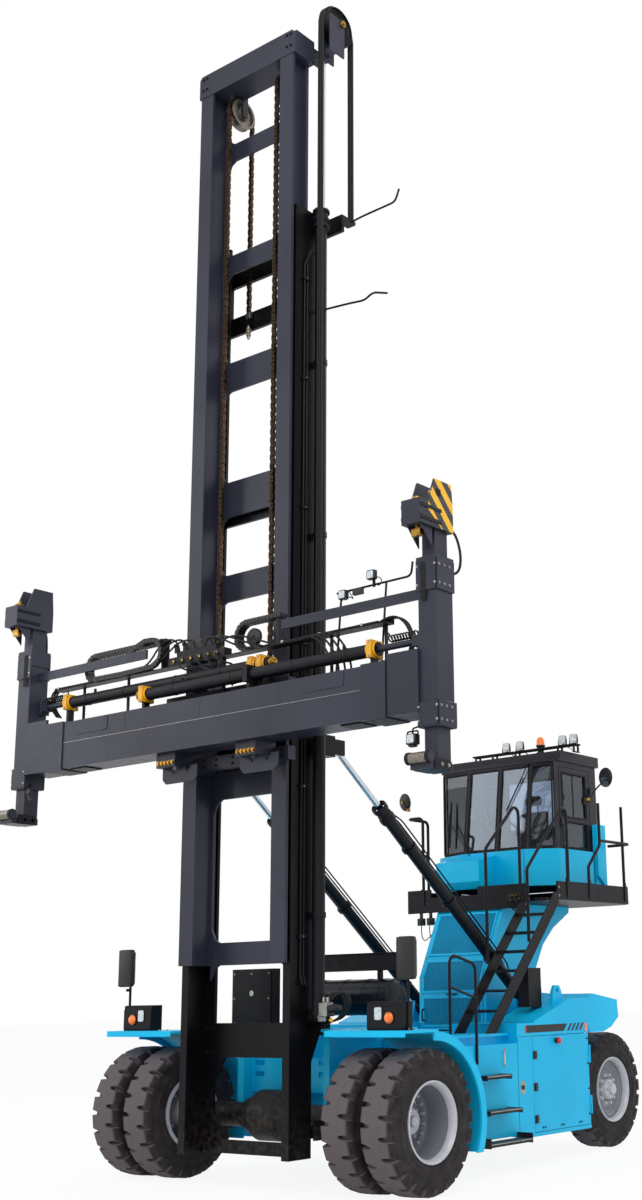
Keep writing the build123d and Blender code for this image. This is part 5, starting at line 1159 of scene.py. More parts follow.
def wallPoint(i, t, z):
    rise = (z - cab["baseZ"]) / cab["height"]
    ends = []
    for low, high in ((cab["low"][i], cab["high"][i]), (cab["low"][i + 1], cab["high"][i + 1])):
        ends.append(Vector((low[0] + (high[0] - low[0]) * rise, low[1] + (high[1] - low[1]) * rise, z)))
    return ends[0].lerp(ends[1], t)


def wallOut(i):
    run = Vector(cab["low"][i + 1]) - Vector(cab["low"][i])
    return Vector((run.y, -run.x, 0)).normalized()


def addStrip(bm, a, b, out, wide, thick, sink=0.0):
    along = (b - a).normalized()
    across = along.cross(out).normalized()
    near, far = out * (thick - sink), out * -sink
    ring = [a + across * wide / 2 + far, a - across * wide / 2 + far, a - across * wide / 2 + near,
        a + across * wide / 2 + near]
    verts = [[bm.verts.new(p + shift) for p in ring] for shift in (Vector((0, 0, 0)), b - a)]
    bm.faces.new(verts[0][::-1])
    bm.faces.new(verts[1])
    for k in range(4):
        bm.faces.new((verts[0][k], verts[0][(k + 1) % 4], verts[1][(k + 1) % 4], verts[1][k]))


def buildSeals():
    bm = bmesh.new()
    for i in range(4):
        out = wallOut(i)
        length = (Vector(cab["low"][i + 1]) - Vector(cab["low"][i])).length
        m = 0.026 / length
        z0, z1 = cab["glassZ"][0] + 0.012, cab["glassZ"][1] - 0.008
        corners = [wallPoint(i, m, z0), wallPoint(i, 1 - m, z0), wallPoint(i, 1 - m, z1),
            wallPoint(i, m, z1)]
        for a, b in zip(corners, corners[1:] + corners[:1]):
            addStrip(bm, a, b, out, 0.022, 0.008, 0.004)
    makePiece("frontSeals", bm, sealRubber, "chassis", bevel=0.002)
    bm = bmesh.new()
    for y0, y1, z0, z1 in ((4.322, 4.892, 4.0, 4.564), (4.312, 4.9, 3.612, 3.94)):
        corners = [Vector((0.8905, y, z)) for y, z in ((y0, z0), (y1, z0), (y1, z1), (y0, z1))]
        for a, b in zip(corners, corners[1:] + corners[:1]):
            addStrip(bm, a, b, Vector((1, 0, 0)), 0.024, 0.006)
    addBox(bm, 0.862, 0.876, 4.585, 4.615, 4.0, 4.564)
    makePiece("doorSeals", bm, sealRubber, "door", bevel=0.002)
    bm = bmesh.new()
    for y, z in ((4.36, 4.26), (4.86, 4.24)):
        addBox(bm, 0.872, 0.896, y - 0.014, y + 0.014, z - 0.045, z + 0.045)
    addBox(bm, 0.8905, 0.905, 4.265, 4.315, 3.86, 3.98)
    makePiece("doorCatches", bm, blackPlastic, "door", bevel=0.004)
    bm = bmesh.new()
    corners = [Vector((-0.8905, y, z)) for y, z in ((4.25, 3.63), (5.02, 3.63), (5.02, 4.6), (4.25, 4.6))]
    for a, b in zip(corners, corners[1:] + corners[:1]):
        addStrip(bm, a, b, Vector((-1, 0, 0)), 0.024, 0.006)
    addStrip(bm, Vector((-0.8905, 4.63, 3.63)), Vector((-0.8905, 4.63, 4.6)), Vector((-1, 0, 0)), 0.02,
        0.006)
    makePiece("sideSeals", bm, sealRubber, "chassis", bevel=0.002)
    bm = bmesh.new()  # drip rail round the roof and hatch
    for i in range(4):
        addStrip(bm, wallPoint(i, 0, 4.7), wallPoint(i, 1, 4.7), wallOut(i), 0.03, 0.012)
    addBox(bm, -0.7, 0.7, 4.42, 5.05, 4.845, 4.857)
    addBox(bm, -0.35, 0.35, 4.72, 5.0, 4.857, 4.885)
    makePiece("roofTrim", bm, cabPaint, "chassis", bevel=0.004)


def buildWipers():
    rods, blades = bmesh.new(), bmesh.new()
    out = wallOut(0)
    pivot = Vector((-0.3, 3.93, 3.575))
    top, low = wallPoint(0, 0.42, 4.3) + out * 0.03, wallPoint(0, 0.36, 3.7) + out * 0.03
    middle = top.lerp(low, 0.5)
    for shift in (Vector((0, 0, 0)), Vector((0.045, 0, 0.012))):
        addRod(rods, pivot + shift, middle + shift * 0.5 + out * 0.01, 0.007, 0.005)
    addRod(rods, pivot + Vector((0, 0.03, 0)), pivot - Vector((0, 0.03, 0)), 0.022, sides=24)
    addBox(rods, -0.33, -0.22, 3.915, 3.955, 3.545, 3.6)
    addStrip(blades, top, low, out, 0.016, 0.02, 0.012)
    addStrip(rods, top.lerp(low, 0.25), top.lerp(low, 0.75), out, 0.012, 0.014, -0.008)
    out = wallOut(2)
    pivot = wallPoint(2, 0.92, 4.67) + out * 0.018
    end = wallPoint(2, 0.55, 4.33) + out * 0.022
    addRod(rods, pivot, end, 0.006, 0.005)
    addRod(rods, pivot - out * 0.02, pivot + out * 0.012, 0.018, sides=24)
    addStrip(blades, wallPoint(2, 0.75, 4.52) + out * 0.014, wallPoint(2, 0.28, 4.1) + out * 0.014, out,
        0.014, 0.016, 0.012)
    makePiece("wiperArms", rods, blackPaint, bevel=0.001)
    makePiece("wiperBlades", blades, sealRubber, bevel=0.001)


def roundMirror(name, centre, look, radius, stalk):
    centre, look = Vector(centre), Vector(look).normalized()
    makePiece(name + "Shell",
        drawn(addLathe, centre, look, ((-0.03, 0.0), (-0.028, radius * 0.4), (-0.012, radius * 0.85),
        (0.004, radius), (0.01, radius), (0.01, radius * 0.95), (0.005, radius * 0.94), (0.005, 0.0)), 48),
        blackPlastic, angle=50)
    makePiece(name + "Glass",
        drawn(addLathe, centre, look, ((0.0055, 0.0), (0.0055, radius * 0.93), (0.0085, radius * 0.93),
        (0.013, radius * 0.6), (0.017, 0.0)), 48), mirrorGlass, angle=60)
    curvePiece(name + "Stalk", [stalk + [tuple(centre - look * 0.028)]], 0.011, blackPaint, bend=0.03)
    bm = bmesh.new()
    addRod(bm, centre - look * 0.05, centre - look * 0.026, 0.02, sides=24)
    addRod(bm, stalk[0], (stalk[0][0], stalk[0][1], stalk[0][2] + 0.035), 0.024)
    makePiece(name + "Clamp", bm, brass, bevel=0.002)


def buildRoofLamps():
    z = cab["barZ"]
    x0, x1 = cab["barX"]
    runs = [[(x0, y, z), (x1, y, z)] for y in cab["barY"]]
    runs += [[(x, cab["barY"][0], z), (x, cab["barY"][1], z)] for x in (x0 + 0.004, -0.32, 0.05, 0.42, 0.72,
        x1 - 0.004)]
    curvePiece("lampBar", runs, 0.012, blackPaint, bend=0, replaced=("roof_lamps",))
    feet = bmesh.new()
    for x in (-0.6, -0.32, 0.05, 0.42, 0.72, 0.965):
        for y in cab["barY"]:
            addBox(feet, x - 0.016, x + 0.016, y - 0.004, y + 0.004, 4.846, z)
        addBox(feet, x - 0.022, x + 0.022, cab["barY"][0] - 0.02, cab["barY"][1] + 0.02, 4.8455, 4.853)
    makePiece("lampBarFeet", feet, blackPaint, bevel=0.002)
    body, rim, lens, yoke = bmesh.new(), bmesh.new(), bmesh.new(), bmesh.new()
    for x in cab["lampX"]:
        y = 4.515
        addPillow(body, x - 0.05, x + 0.05, 4.975, 5.08, y + 0.006, 0.045, 0.022, 0.008)
        addPrism(rim, roundedPlate(x - 0.053, x + 0.053, 4.972, 5.083, 0.024), "y", y, y + 0.01)
        addPrism(lens, roundedPlate(x - 0.042, x + 0.042, 4.983, 5.072, 0.014), "y", y - 0.004, y + 0.002)
        for side in (-0.06, 0.06):
            addBox(yoke, x + side - 0.002, x + side + 0.002, y + 0.004, y + 0.03, 4.962, 5.03)
        addBox(yoke, x - 0.062, x + 0.062, y + 0.004, y + 0.03, 4.957, 4.963)
        addRod(yoke, (x, y + 0.017, 4.94), (x, y + 0.017, 4.966), 0.009)
    makePiece("workLampBodies", body, blackPlastic, angle=50)
    makePiece("workLampRims", rim, whitePlastic, bevel=0.003)
    makePiece("workLampLenses", lens, lampLens, bevel=0.002)
    makePiece("workLampYokes", yoke, blackPaint, bevel=0.001)
    bm = bmesh.new()
    x, y = cab["beaconX"], 4.575
    addLathe(bm, (x, y, 0), (0, 0, 1), ((4.94, 0.0), (4.94, 0.046), (4.972, 0.05), (4.985, 0.062),
        (4.998, 0.062), (5.0, 0.0)), 40)
    addRod(bm, (x, y, 4.9), (x, y, 4.945), 0.012)
    makePiece("beaconBase", bm, blackPlastic, angle=40)
    makePiece("beaconDome",
        drawn(addLathe, (x, y, 0), (0, 0, 1), ((4.998, 0.0), (4.998, 0.056), (5.065, 0.052), (5.092, 0.04),
        (5.106, 0.022), (5.11, 0.0)), 40), amberLens, angle=50)
    curvePiece("lampLeads",
        [[(x, 4.54, 4.985), (x + 0.03, 4.56, 4.93), (x + 0.1, 4.6, 4.9), (x + 0.16, 4.61, 4.852)]
        for x in cab["lampX"][:3]] + [[(0.42, 4.58, 4.93), (0.3, 4.6, 4.88), (0.12, 4.62, 4.87),
        (0.02, 4.63, 4.852)]], 0.005, hoseRubber)


def buildTrim():
    bm = bmesh.new()  # steering wheel, boss and spokes over the column
    centre, up = Vector((0, 4.25, 3.915)), Vector((0, 0.447, 0.894))
    addLoop(bm, centre, up, 0.205, 0.0165, 48)
    makePiece("steeringRing", bm, blackPlastic, angle=60)
    bm = bmesh.new()
    addLathe(bm, centre, up, ((-0.03, 0.0), (-0.03, 0.05), (0.006, 0.06), (0.02, 0.045), (0.024, 0.0)), 32)
    across = up.orthogonal().normalized()
    other = up.cross(across)
    for k in range(3):
        a = 2 * math.pi * k / 3 + 0.5
        out = across * math.cos(a) + other * math.sin(a)
        addStrip(bm, centre + out * 0.045, centre + out * 0.2, up, 0.03, 0.01, 0.004)
    makePiece("steeringSpokes", bm, blackPlastic, bevel=0.003)
    bm = bmesh.new()  # side consoles, levers and screen
    addPrism(bm, [(4.28, 3.3), (4.28, 3.9), (4.38, 3.99), (4.72, 3.98), (4.72, 3.3)], "x", -0.62, -0.37)
    addPrism(bm, [(4.42, 3.3), (4.42, 3.82), (4.52, 3.9), (4.72, 3.9), (4.72, 3.3)], "x", 0.38, 0.52)
    addBox(bm, -0.6, -0.4, 4.14, 4.165, 4.06, 4.2)
    addRod(bm, (-0.5, 4.175, 3.95), (-0.5, 4.165, 4.1), 0.012)
    addBox(bm, -0.56, -0.44, 4.1, 4.3, 3.93, 3.955)
    makePiece("consoles", bm, greyTrim, bevel=0.012)
    makePiece("screenGlass", drawn(addBox, -0.59, -0.41, 4.1375, 4.1405, 4.07, 4.19), mirrorGlass,
        bevel=0.001)
    bm = bmesh.new()
    for x, y in ((-0.5, 4.47), (-0.44, 4.56), (0.45, 4.58)):
        addRod(bm, (x, y, 3.93), (x, y - 0.02, 4.05), 0.009)
        addLathe(bm, (x, y - 0.022, 4.045), (0, -0.12, 1), ((0.0, 0.0), (0.0, 0.014), (0.03, 0.024),
            (0.07, 0.022), (0.085, 0.0)), 24)
    makePiece("controlLevers", bm, blackPlastic, angle=50)
    bm = bmesh.new()  # lining of the roof and rear, blind and floor mat
    addBox(bm, -0.8, 0.8, 4.25, 5.09, 4.64, 4.655)
    addBox(bm, -0.8, -0.45, 5.085, 5.1, 3.3, 4.62)
    addBox(bm, 0.45, 0.8, 5.085, 5.1, 3.3, 4.62)
    addBox(bm, -0.78, 0.78, 4.22, 5.08, 3.216, 3.228)
    addBox(bm, -0.36, 0.06, 4.135, 4.15, 4.42, 4.63)
    makePiece("innerLining", bm, greyTrim, "chassis", bevel=0.006)
    bm = bmesh.new()  # seams of the lower shell
    addBox(bm, 0.55, 0.554, 3.897, 3.9, 3.13, 3.56)
    for y in (4.245, 4.925):
        addBox(bm, 0.9502, 0.951, y - 0.002, y + 0.002, 3.18, 3.57)
    makePiece("shellSeams", bm, sealRubber, "chassis")


buildSeals()
buildWipers()
roundMirror("rightMirror", (-1.0, 3.46, 4.27), (0.25, 1, 0.15), 0.115,
    [(-0.935, 3.455, 4.145), (-0.945, 3.44, 4.17)])
roundMirror("doorMirror", (1.335, 4.68, 4.49), (-0.3, -1, -0.05), 0.125,
    [(1.318, 4.25, 4.15), (1.325, 4.45, 4.33)])
buildRoofLamps()
buildTrim()
print("cab dressed")


# spreader: a painted highlight strip along the fold, raised pads, clamps, chain links, valves, hoses and
# lamps

lifter = {
    "trayY": -0.9, "trayZ": 5.3, "pushA": (-0.95, 5.13), "pushB": (-1.05, 5.02),
    "loops": ((-2.12, -0.8), (0.25, 0.9)), "legX": 2.945, "legY": -1.02}


def buildSpreader():
    # bright zinc strip along the fold line: a painted highlight where the fold catches the light
    makePiece("foldPaintedHighlight", drawn(addBox, -2.15, 2.15, -1.1712, -1.1695, 4.6205, 4.6235), zinc, "spreader")
    bm = bmesh.new()
    for x0, x1 in ((-1.97, -1.43), (1.4, 1.95)):
        addPrism(bm, roundedPlate(x0, x1, 4.69, 4.849, 0.035), "y", -1.176, -1.1695)
    for x in (-1.16, -0.02, 1.1):
        addBox(bm, x - 0.02, x + 0.02, -1.172, -1.1695, 4.64, 4.84)
    makePiece("stiffenerPads", bm, mastPaint, "spreader", bevel=0.004)
    bm = bmesh.new()
    for s in (1, -1):  # pocket plates below the tube ends
        addBox(bm, *span(s, 2.18, 2.46), -1.15, -0.83, 4.318, 4.3205)
        addBox(bm, *span(s, 1.85, 2.1), -1.1, -0.86, 4.322, 4.3347)
    makePiece("pocketPlates", bm, blackPaint, "spreader", bevel=0.002)
    yellow, black, tips, bolts = bmesh.new(), bmesh.new(), bmesh.new(), []
    for (y, z), caps in ((lifter["pushA"], (-2.34, 0.56, 0.69)), (lifter["pushB"], (-0.96, 2.23))):
        for x in caps:
            addBox(yellow, x - 0.0315, x + 0.0315, y - 0.0885, y + 0.0885, z - 0.0885, z + 0.0885)
            bolts += [(x, y - 0.0885, z + dz) for dz in (-0.07, 0.07)]
            for d in (-0.052, 0.038):
                addLathe(yellow, (x, y, z), (1, 0, 0), ((d - 0.004, 0.066), (d - 0.004, 0.076), (d, 0.082),
                    (d + 0.014, 0.082), (d + 0.018, 0.076), (d + 0.018, 0.066)), 40)
    for (y, z), spots in ((lifter["pushA"], (-2.02, -1.4, -0.6, 0.1)),
            (lifter["pushB"], (-0.5, 0.35, 1.2, 1.9))):
        for x in spots:
            addRing(black, (x, y, z), (1, 0, 0), -0.012, 0.012, 0.0648, 0.069, 40)
        for x in (spots[0] + 0.1, spots[-1] - 0.05):
            addRod(black, (x, y, z + 0.06), (x, y, z + 0.105), 0.016, sides=12)
    for (y, z), x, d in ((lifter["pushA"], 0.8, 1), (lifter["pushB"], -1.04, -1)):
        addLathe(tips, (x, y, z), (d, 0, 0), ((-0.002, 0.0), (-0.002, 0.06), (0.018, 0.06), (0.022, 0.034),
            (0.05, 0.032), (0.056, 0.022), (0.056, 0.0)), 32)
    makePiece("bearingCaps", yellow, yellowPaint, "spreader", bevel=0.006)
    makePiece("barrelBands", black, blackPaint, "spreader", bevel=0.002)
    makePiece("cylinderTips", tips, brass, "spreader", bevel=0.001)
    boltRow("capBolts", bolts, (0, -1, 0), 0.016, "spreader")
    # energy chain links laid round both loops
    link = bmesh.new()
    addBox(link, -0.0225, 0.0225, -0.051, -0.0455, -0.0235, 0.0235)
    addBox(link, -0.0225, 0.0225, 0.0455, 0.051, -0.0235, 0.0235)
    addBox(link, -0.014, 0.014, -0.051, 0.051, 0.0205, 0.025)
    addBox(link, -0.014, 0.014, -0.051, 0.051, -0.025, -0.0205)
    for y in (-0.0525, 0.0525):
        addRod(link, (0.0255, y - 0.002, 0), (0.0255, y + 0.002, 0), 0.012, sides=12)
    link.verts.index_update()
    bmesh.ops.recalc_face_normals(link, faces=link.faces)
    places = []
    for x0, x1 in lifter["loops"]:
        y, low, high, radius = lifter["trayY"], lifter["trayZ"] + 0.028, lifter["trayZ"] + 0.32, 0.146
        path = [(x1 - 0.3, y, low), (x0 + 0.17, y, low)]
        path += [(x0 + 0.17 - math.sin(a) * radius, y, (low + high) / 2 - math.cos(a) * radius)
            for a in np.linspace(0.15, math.pi - 0.15, 12)]
        path += [(x0 + 0.17, y, high), (x1 - 0.02, y, high)]
        places += [placeAxes(spot, along, yAxis, along.cross(yAxis))
            for spot, along in alongPath(path, 0.052)]
    stamp("energyChainLinks", link, places, blackPlastic, "spreader")
    # second loop, which bulges to the left side and lies before the first
    path = [(-1.88, -0.982, 5.335), (-1.45, -0.982, 5.33), (-1.05, -0.982, 5.34)]
    path += [(-0.97 + math.sin(a) * 0.15, -0.982, 5.49 - math.cos(a) * 0.15)
        for a in np.linspace(0.1, math.pi - 0.1, 12)]
    path += [(-1.08, -0.982, 5.645), (-1.22, -0.982, 5.6), (-1.32, -0.982, 5.55)]
    thin = bmesh.new()
    addBox(thin, -0.021, 0.021, -0.022, 0.022, -0.024, 0.024)
    addRod(thin, (0.024, -0.026, 0), (0.024, 0.026, 0), 0.01, sides=12)
    thin.verts.index_update()
    places = [placeAxes(spot, along, yAxis, along.cross(yAxis)) for spot, along in alongPath(path, 0.047)]
    stamp("secondChainLinks", thin, places, blackPlastic, "spreader")
    # valve block behind the tray, with coils and brass fittings
    block, coils, fittings = bmesh.new(), bmesh.new(), bmesh.new()
    addBox(block, -0.74, 0.12, -0.955, -0.845, 5.309, 5.4)
    addBox(block, -0.62, -0.02, -0.94, -0.86, 5.4, 5.46)
    for k in range(6):
        x = -0.66 + 0.13 * k
        addBox(coils, x - 0.03, x + 0.03, -0.962, -0.955, 5.32, 5.385)
        addRod(coils, (x, -0.9, 5.46), (x, -0.9, 5.545), 0.027)
        addRod(coils, (x, -0.9, 5.545), (x, -0.9, 5.565), 0.012, sides=6)
        addBox(coils, x - 0.02, x + 0.02, -0.935, -0.905, 5.52, 5.555)
        addRod(fittings, (x + 0.05, -0.9, 5.4), (x + 0.05, -0.9, 5.425), 0.013, sides=6)
        addRod(fittings, (x + 0.03, -0.955, 5.35), (x + 0.03, -0.975, 5.35), 0.014, sides=6)
    makePiece("spreaderValves", block, blackPaint, "spreader", bevel=0.004)
    makePiece("valveSolenoids", coils, blackPlastic, "spreader", bevel=0.003)
    makePiece("valveFittings", fittings, brass, "spreader", bevel=0.001)
    runs = []
    for k in range(6):
        x = -0.61 + 0.13 * k
        side = 1 if k > 2 else -1
        runs.append([(x, -0.9, 5.42), (x, -0.92, 5.6 - 0.02 * k), (x + side * 0.16, -0.96, 5.64 - 0.03 * k),
            (x + side * 0.3, -0.985, 5.5), (x + side * (0.45 + 0.06 * k), -0.97, 5.33),
            (x + side * 0.75, -0.965, 5.325)])
    for k in range(5):
        x = -0.55 + 0.14 * k
        runs.append([(x, -0.975, 5.35), (x + 0.02, -1.01, 5.3), (x + 0.1, -0.99, 5.22),
            (x + 0.16, -0.9, 5.24), (x + 0.12, -0.8, 5.2), (x + 0.05, -0.775, 5.02)])
    curvePiece("spreaderHoses", runs, 0.0105, hoseRubber, "spreader")
    runs = []
    for k in range(4):  # bundles along the tray and arches at its ends
        y = -0.955 + 0.028 * k
        runs.append([(-2.62, y, 5.322), (-1.9, y, 5.318), (-1.2, y, 5.322)])
        runs.append([(0.7, y, 5.32), (1.4, y, 5.318), (2.2, y, 5.322)])
    for k in range(3):
        y = -0.93 + 0.03 * k
        runs.append([(2.2, y, 5.322), (2.33, y, 5.37), (2.46, y, 5.33), (2.56, y, 5.2),
            (2.6 - 0.02 * k, y, 5.08), (2.56, y, 4.99)])
        runs.append([(-2.62, y, 5.322), (-2.7, y, 5.3), (-2.735, y, 5.2), (-2.7, y, 5.09), (-2.6, y, 5.0)])
    for k in range(4):
        x = 1.15 + 0.08 * k
        runs.append([(x, -0.93, 5.325), (x + 0.22, -1.0, 5.33), (x + 0.42, -1.01, 5.2),
            (x + 0.5, -0.99, 4.98), (x + 0.47, -0.95, 4.87)])
    curvePiece("trayHoses", runs, 0.011, hoseRubber, "spreader")
    bm = bmesh.new()
    for x in (-2.55, -1.9, -1.3, 0.95, 1.45, 2.0):
        addBox(bm, x - 0.014, x + 0.014, -0.972, -0.842, 5.309, 5.3355)
    makePiece("hoseClips", bm, zinc, "spreader", bevel=0.003)
    bm = bmesh.new()
    addLathe(bm, (0.47, -0.845, 5.46), (0, 1, 0), ((-0.055, 0.018), (-0.055, 0.085), (-0.045, 0.095),
        (-0.01, 0.095), (0.0, 0.085), (0.0, 0.018)), 40)
    addRod(bm, (0.47, -0.91, 5.46), (0.47, -0.83, 5.46), 0.018)
    makePiece("loopPulley", bm, blackPlastic, "spreader", angle=40)
    lens, rims, leads = bmesh.new(), bmesh.new(), []
    for x, z in ((1.62, 5.725), (1.99, 5.865)):
        addPrism(rims, roundedPlate(x - 0.048, x + 0.048, z - 0.048, z + 0.048, 0.02), "y", -0.822, -0.8095)
        addPrism(lens, roundedPlate(x - 0.038, x + 0.038, z - 0.038, z + 0.038, 0.013), "y", -0.826, -0.82)
        leads.append([(x + 0.03, -0.765, z - 0.02), (x + 0.09, -0.75, z - 0.02),
            (x + 0.13, -0.755, z - 0.1), (x + 0.05, -0.76, 5.755)])
    makePiece("boomLampRims", rims, blackPlastic, "spreader", bevel=0.003)
    makePiece("boomLampLenses", lens, lampLens, "spreader", bevel=0.002)
    curvePiece("boomLampLeads", leads, 0.005, hoseRubber, "spreader")
    makePiece("junctionBox", drawn(addBox, 1.74, 1.86, -0.8, -0.755, 5.7, 5.762), blackPlastic, "spreader",
        bevel=0.005)
    # carriage: pad bolts and notched hangers
    spots = [(s * (0.475 + 0.053 * k), -1.0905, 4.235) for s in (1, -1) for k in range(5)]
    boltRow("padBolts", spots, (0, -1, 0), 0.036, "carriage_stage", brass, 0.5)
    bm = bmesh.new()
    for x0, x1 in ((-0.74, -0.22), (0.4, 0.92)):
        outline = [(x0, 4.206), (x0, 4.08), (x0 + 0.05, 4.03), (x1 - 0.05, 4.03), (x1, 4.08), (x1, 4.206)]
        for xc in (x1 - 0.15, x0 + 0.17):
            outline += [(xc + 0.055, 4.206), (xc, 4.13), (xc - 0.055, 4.206)]
        addPrism(bm, outline, "y", -0.98, -0.962)
    for s in (1, -1):
        addBox(bm, *span(s, 0.44, 0.72), -1.09, -0.81, 4.188, 4.2047)
    makePiece("padHangers", bm, mastPaint, "carriage_stage", bevel=0.003)
    spots = [(s * x, -0.8105, z) for s in (1, -1) for x in (0.12, 0.3, 0.82) for z in (4.19, 4.25)]
    boltRow("carriageBolts", spots, (0, -1, 0), 0.024, "carriage_stage", material=blackPaint)


def buildLegs():
    for label, s in (("left", 1), ("right", -1)):
        arm, leg = "arm_out_" + label, "leg_down_" + label
        x, y = s * lifter["legX"], lifter["legY"]
        collars = bmesh.new()
        for z0, z1 in ((4.19, 4.42), (5.46, 5.76)):
            for a, b, c, d in ((x - 0.122, x + 0.122, y - 0.142, y - 0.1255),
                    (x - 0.122, x + 0.122, y + 0.1255, y + 0.142),
                    (x + s * 0.1055, x + s * 0.122, y - 0.142, y + 0.142)):
                addBox(collars, *sorted((a, b)), c, d, z0, z1)
        makePiece("sleeveCollars_" + label, collars, mastPaint, arm, bevel=0.006)
        spots = [(x + s * 0.121, y + dy, z) for dy in (-0.1, -0.02, 0.06) for z in (4.24, 4.37, 5.52, 5.7)]
        boltRow("collarBolts_" + label, spots, (s, 0, 0), 0.02, arm, height=0.5)
        spots = [(x + dx, y - 0.142, z) for dx in (-0.104, 0.104) for z in (4.24, 4.37, 5.52, 5.7)]
        boltRow("collarFrontBolts_" + label, spots, (0, -1, 0), 0.02, arm, height=0.5)
        # guide slot on the front inner corner, a thin dark plate of painted shade standing for the slot
        makePiece("guideSlotShade_" + label,
            drawn(addPrism, roundedPlate(x - s * 0.035 - 0.028, x - s * 0.035 + 0.028, 5.36, 5.74, 0.027),
            "y", y - 0.146, y - 0.1445), sealRubber, arm)
        bm = bmesh.new()  # stripes of the head plate, and its sight hole as a dark patch of painted shade
        outer = s * 3.055
        outline = [(-1.25, 6.285), (-1.15, 6.53), (-0.89, 6.53), (-0.87, 6.285), (-0.87, 6.055),
            (-1.05, 6.055), (-1.25, 6.2)]
        addPrism(bm, outline, "x", *sorted((outer, outer + s * 0.0015)))
        makePiece("headStripes_" + label, bm, hazard, leg)
        # a dark rubber patch stands for the sight hole: painted shade
        makePiece("sightHoleShade_" + label, drawn(addBox, *sorted((outer + s * 0.001, outer + s * 0.003)),
            -1.13, -1.06, 6.37, 6.44), sealRubber, leg)
        bm = bmesh.new()  # plates and pins of the lock
        addBox(bm, x - 0.118, x + 0.118, -1.379, -1.05, 6.09, 6.13)
        addBox(bm, x - 0.118, x + 0.118, -1.379, -1.05, 6.21, 6.245)
        addBox(bm, x - 0.045, x + 0.045, -1.33, -1.16, 6.2905, 6.31)
        makePiece("lockPlates_" + label, bm, blackPaint, leg, bevel=0.005)
        bm = bmesh.new()
        addRod(bm, (x - s * 0.03, -1.24, 6.0), (x - s * 0.03, -1.24, 6.055), 0.026)
        addRod(bm, (x - s * 0.03, -1.24, 5.985), (x - s * 0.03, -1.24, 6.0), 0.036, sides=6)
        addRod(bm, (x + s * 0.09, -1.2, 6.31), (x + s * 0.09, -1.2, 6.4), 0.014, sides=14)
        makePiece("lockPins_" + label, bm, brass, leg, bevel=0.002)
        curvePiece("headHoses_" + label,
            [[(x + s * 0.06, -0.868, 6.1), (x + s * 0.08, -0.81, 6.1), (x + s * 0.11, -0.77, 5.95),
            (x + s * 0.118, -0.76, 5.8), (x + s * 0.11, -0.79, 5.68), (x + s * 0.09, -0.86, 5.66)]], 0.013,
            hoseRubber, leg)
        bm = bmesh.new()  # worn guide roller with its end caps at the foot
        centre = (x, -1.3, 3.88)
        addRing(bm, centre, (1, 0, 0), -0.1, 0.1, 0.0495, 0.052, 40)
        makePiece("footRoller_" + label, bm, wornSteel, leg, angle=40)
        bm = bmesh.new()
        for d in (-1, 1):
            addLathe(bm, (x + d * 0.135, -1.3, 3.88), (d, 0, 0),
                ((-0.038, 0.0505), (-0.038, 0.058), (-0.006, 0.058), (-0.001, 0.05), (0.0, 0.02),
                (-0.004, 0.0)), 36)
            side = [(-1.02 + math.cos(a) * 0.055, 3.83 + math.sin(a) * 0.055)
                for a in np.linspace(-1.57, 1.57, 9)]
            side += [(-1.22, 3.885), (-1.22, 3.775)]
            addPrism(bm, [(p, max(q, 3.778)) for p, q in side], "x",
                *sorted((x + d * 0.1105, x + d * 0.12)))
        makePiece("footPlates_" + label, bm, blackPaint, leg, bevel=0.002)
        boltRow("footBolts_" + label, [(x + d * 0.12, yy, 3.83) for d in (-1, 1) for yy in (-1.12, -1.02)],
            (s, 0, 0), 0.028, leg, height=0.4)
        bm = bmesh.new()  # rod lug and lead coil at the arm's end
        yB, zB = lifter["pushB"] if s > 0 else lifter["pushA"]
        addBox(bm, *span(s, 2.79, 2.835), yB - 0.06, yB + 0.06, zB - 0.085, zB + 0.085)
        makePiece("rodLug_" + label, bm, mastPaint, arm, bevel=0.006)
        start = 2.42
        coil = [(s * (start + 0.34 * k / 72), yB + math.cos(k * 0.87) * 0.045,
            zB + 0.075 + math.sin(k * 0.87) * 0.034) for k in range(73)]
        coil = [(s * 2.4, yB, zB + 0.14)] + coil + [(s * 2.8, yB + 0.02, zB + 0.12)]
        curvePiece("leadCoil_" + label, [coil], 0.008, hoseRubber, arm)
    bm = bmesh.new()  # lamp hung from the left sleeve
    addBox(bm, 2.7, 2.81, -1.185, -1.105, 4.035, 4.135)
    addBox(bm, 2.717, 2.793, -1.175, -1.115, 4.015, 4.04)
    makePiece("legLampBody", bm, blackPlastic, "arm_out_left", bevel=0.012)
    makePiece("legLampLens", drawn(addPrism, roundedPlate(2.715, 2.795, 4.048, 4.125, 0.014), "y", -1.19,
        -1.1845), lampLens, "arm_out_left", bevel=0.002)
    curvePiece("legLampYoke", [[(2.755, -1.145, 4.13), (2.755, -1.145, 4.185), (2.86, -1.11, 4.215)],
        [(2.695, -1.145, 4.09), (2.695, -1.145, 4.16), (2.815, -1.145, 4.16), (2.815, -1.145, 4.09)]],
        0.008, blackPaint, "arm_out_left", bend=0.015)
    bm = bmesh.new()
    addBox(bm, -2.83, -2.76, -1.13, -1.09, 4.12, 4.175)
    addRod(bm, (-2.8, -1.11, 4.12), (-2.74, -1.13, 4.03), 0.018)
    makePiece("rightSensor", bm, blackPlastic, "arm_out_right", bevel=0.003)
    curvePiece("rightSensorStrut", [[(-2.795, -1.11, 4.17), (-2.795, -1.09, 4.21), (-2.85, -1.06, 4.23)]],
        0.009, blackPaint, "arm_out_right", bend=0.02)


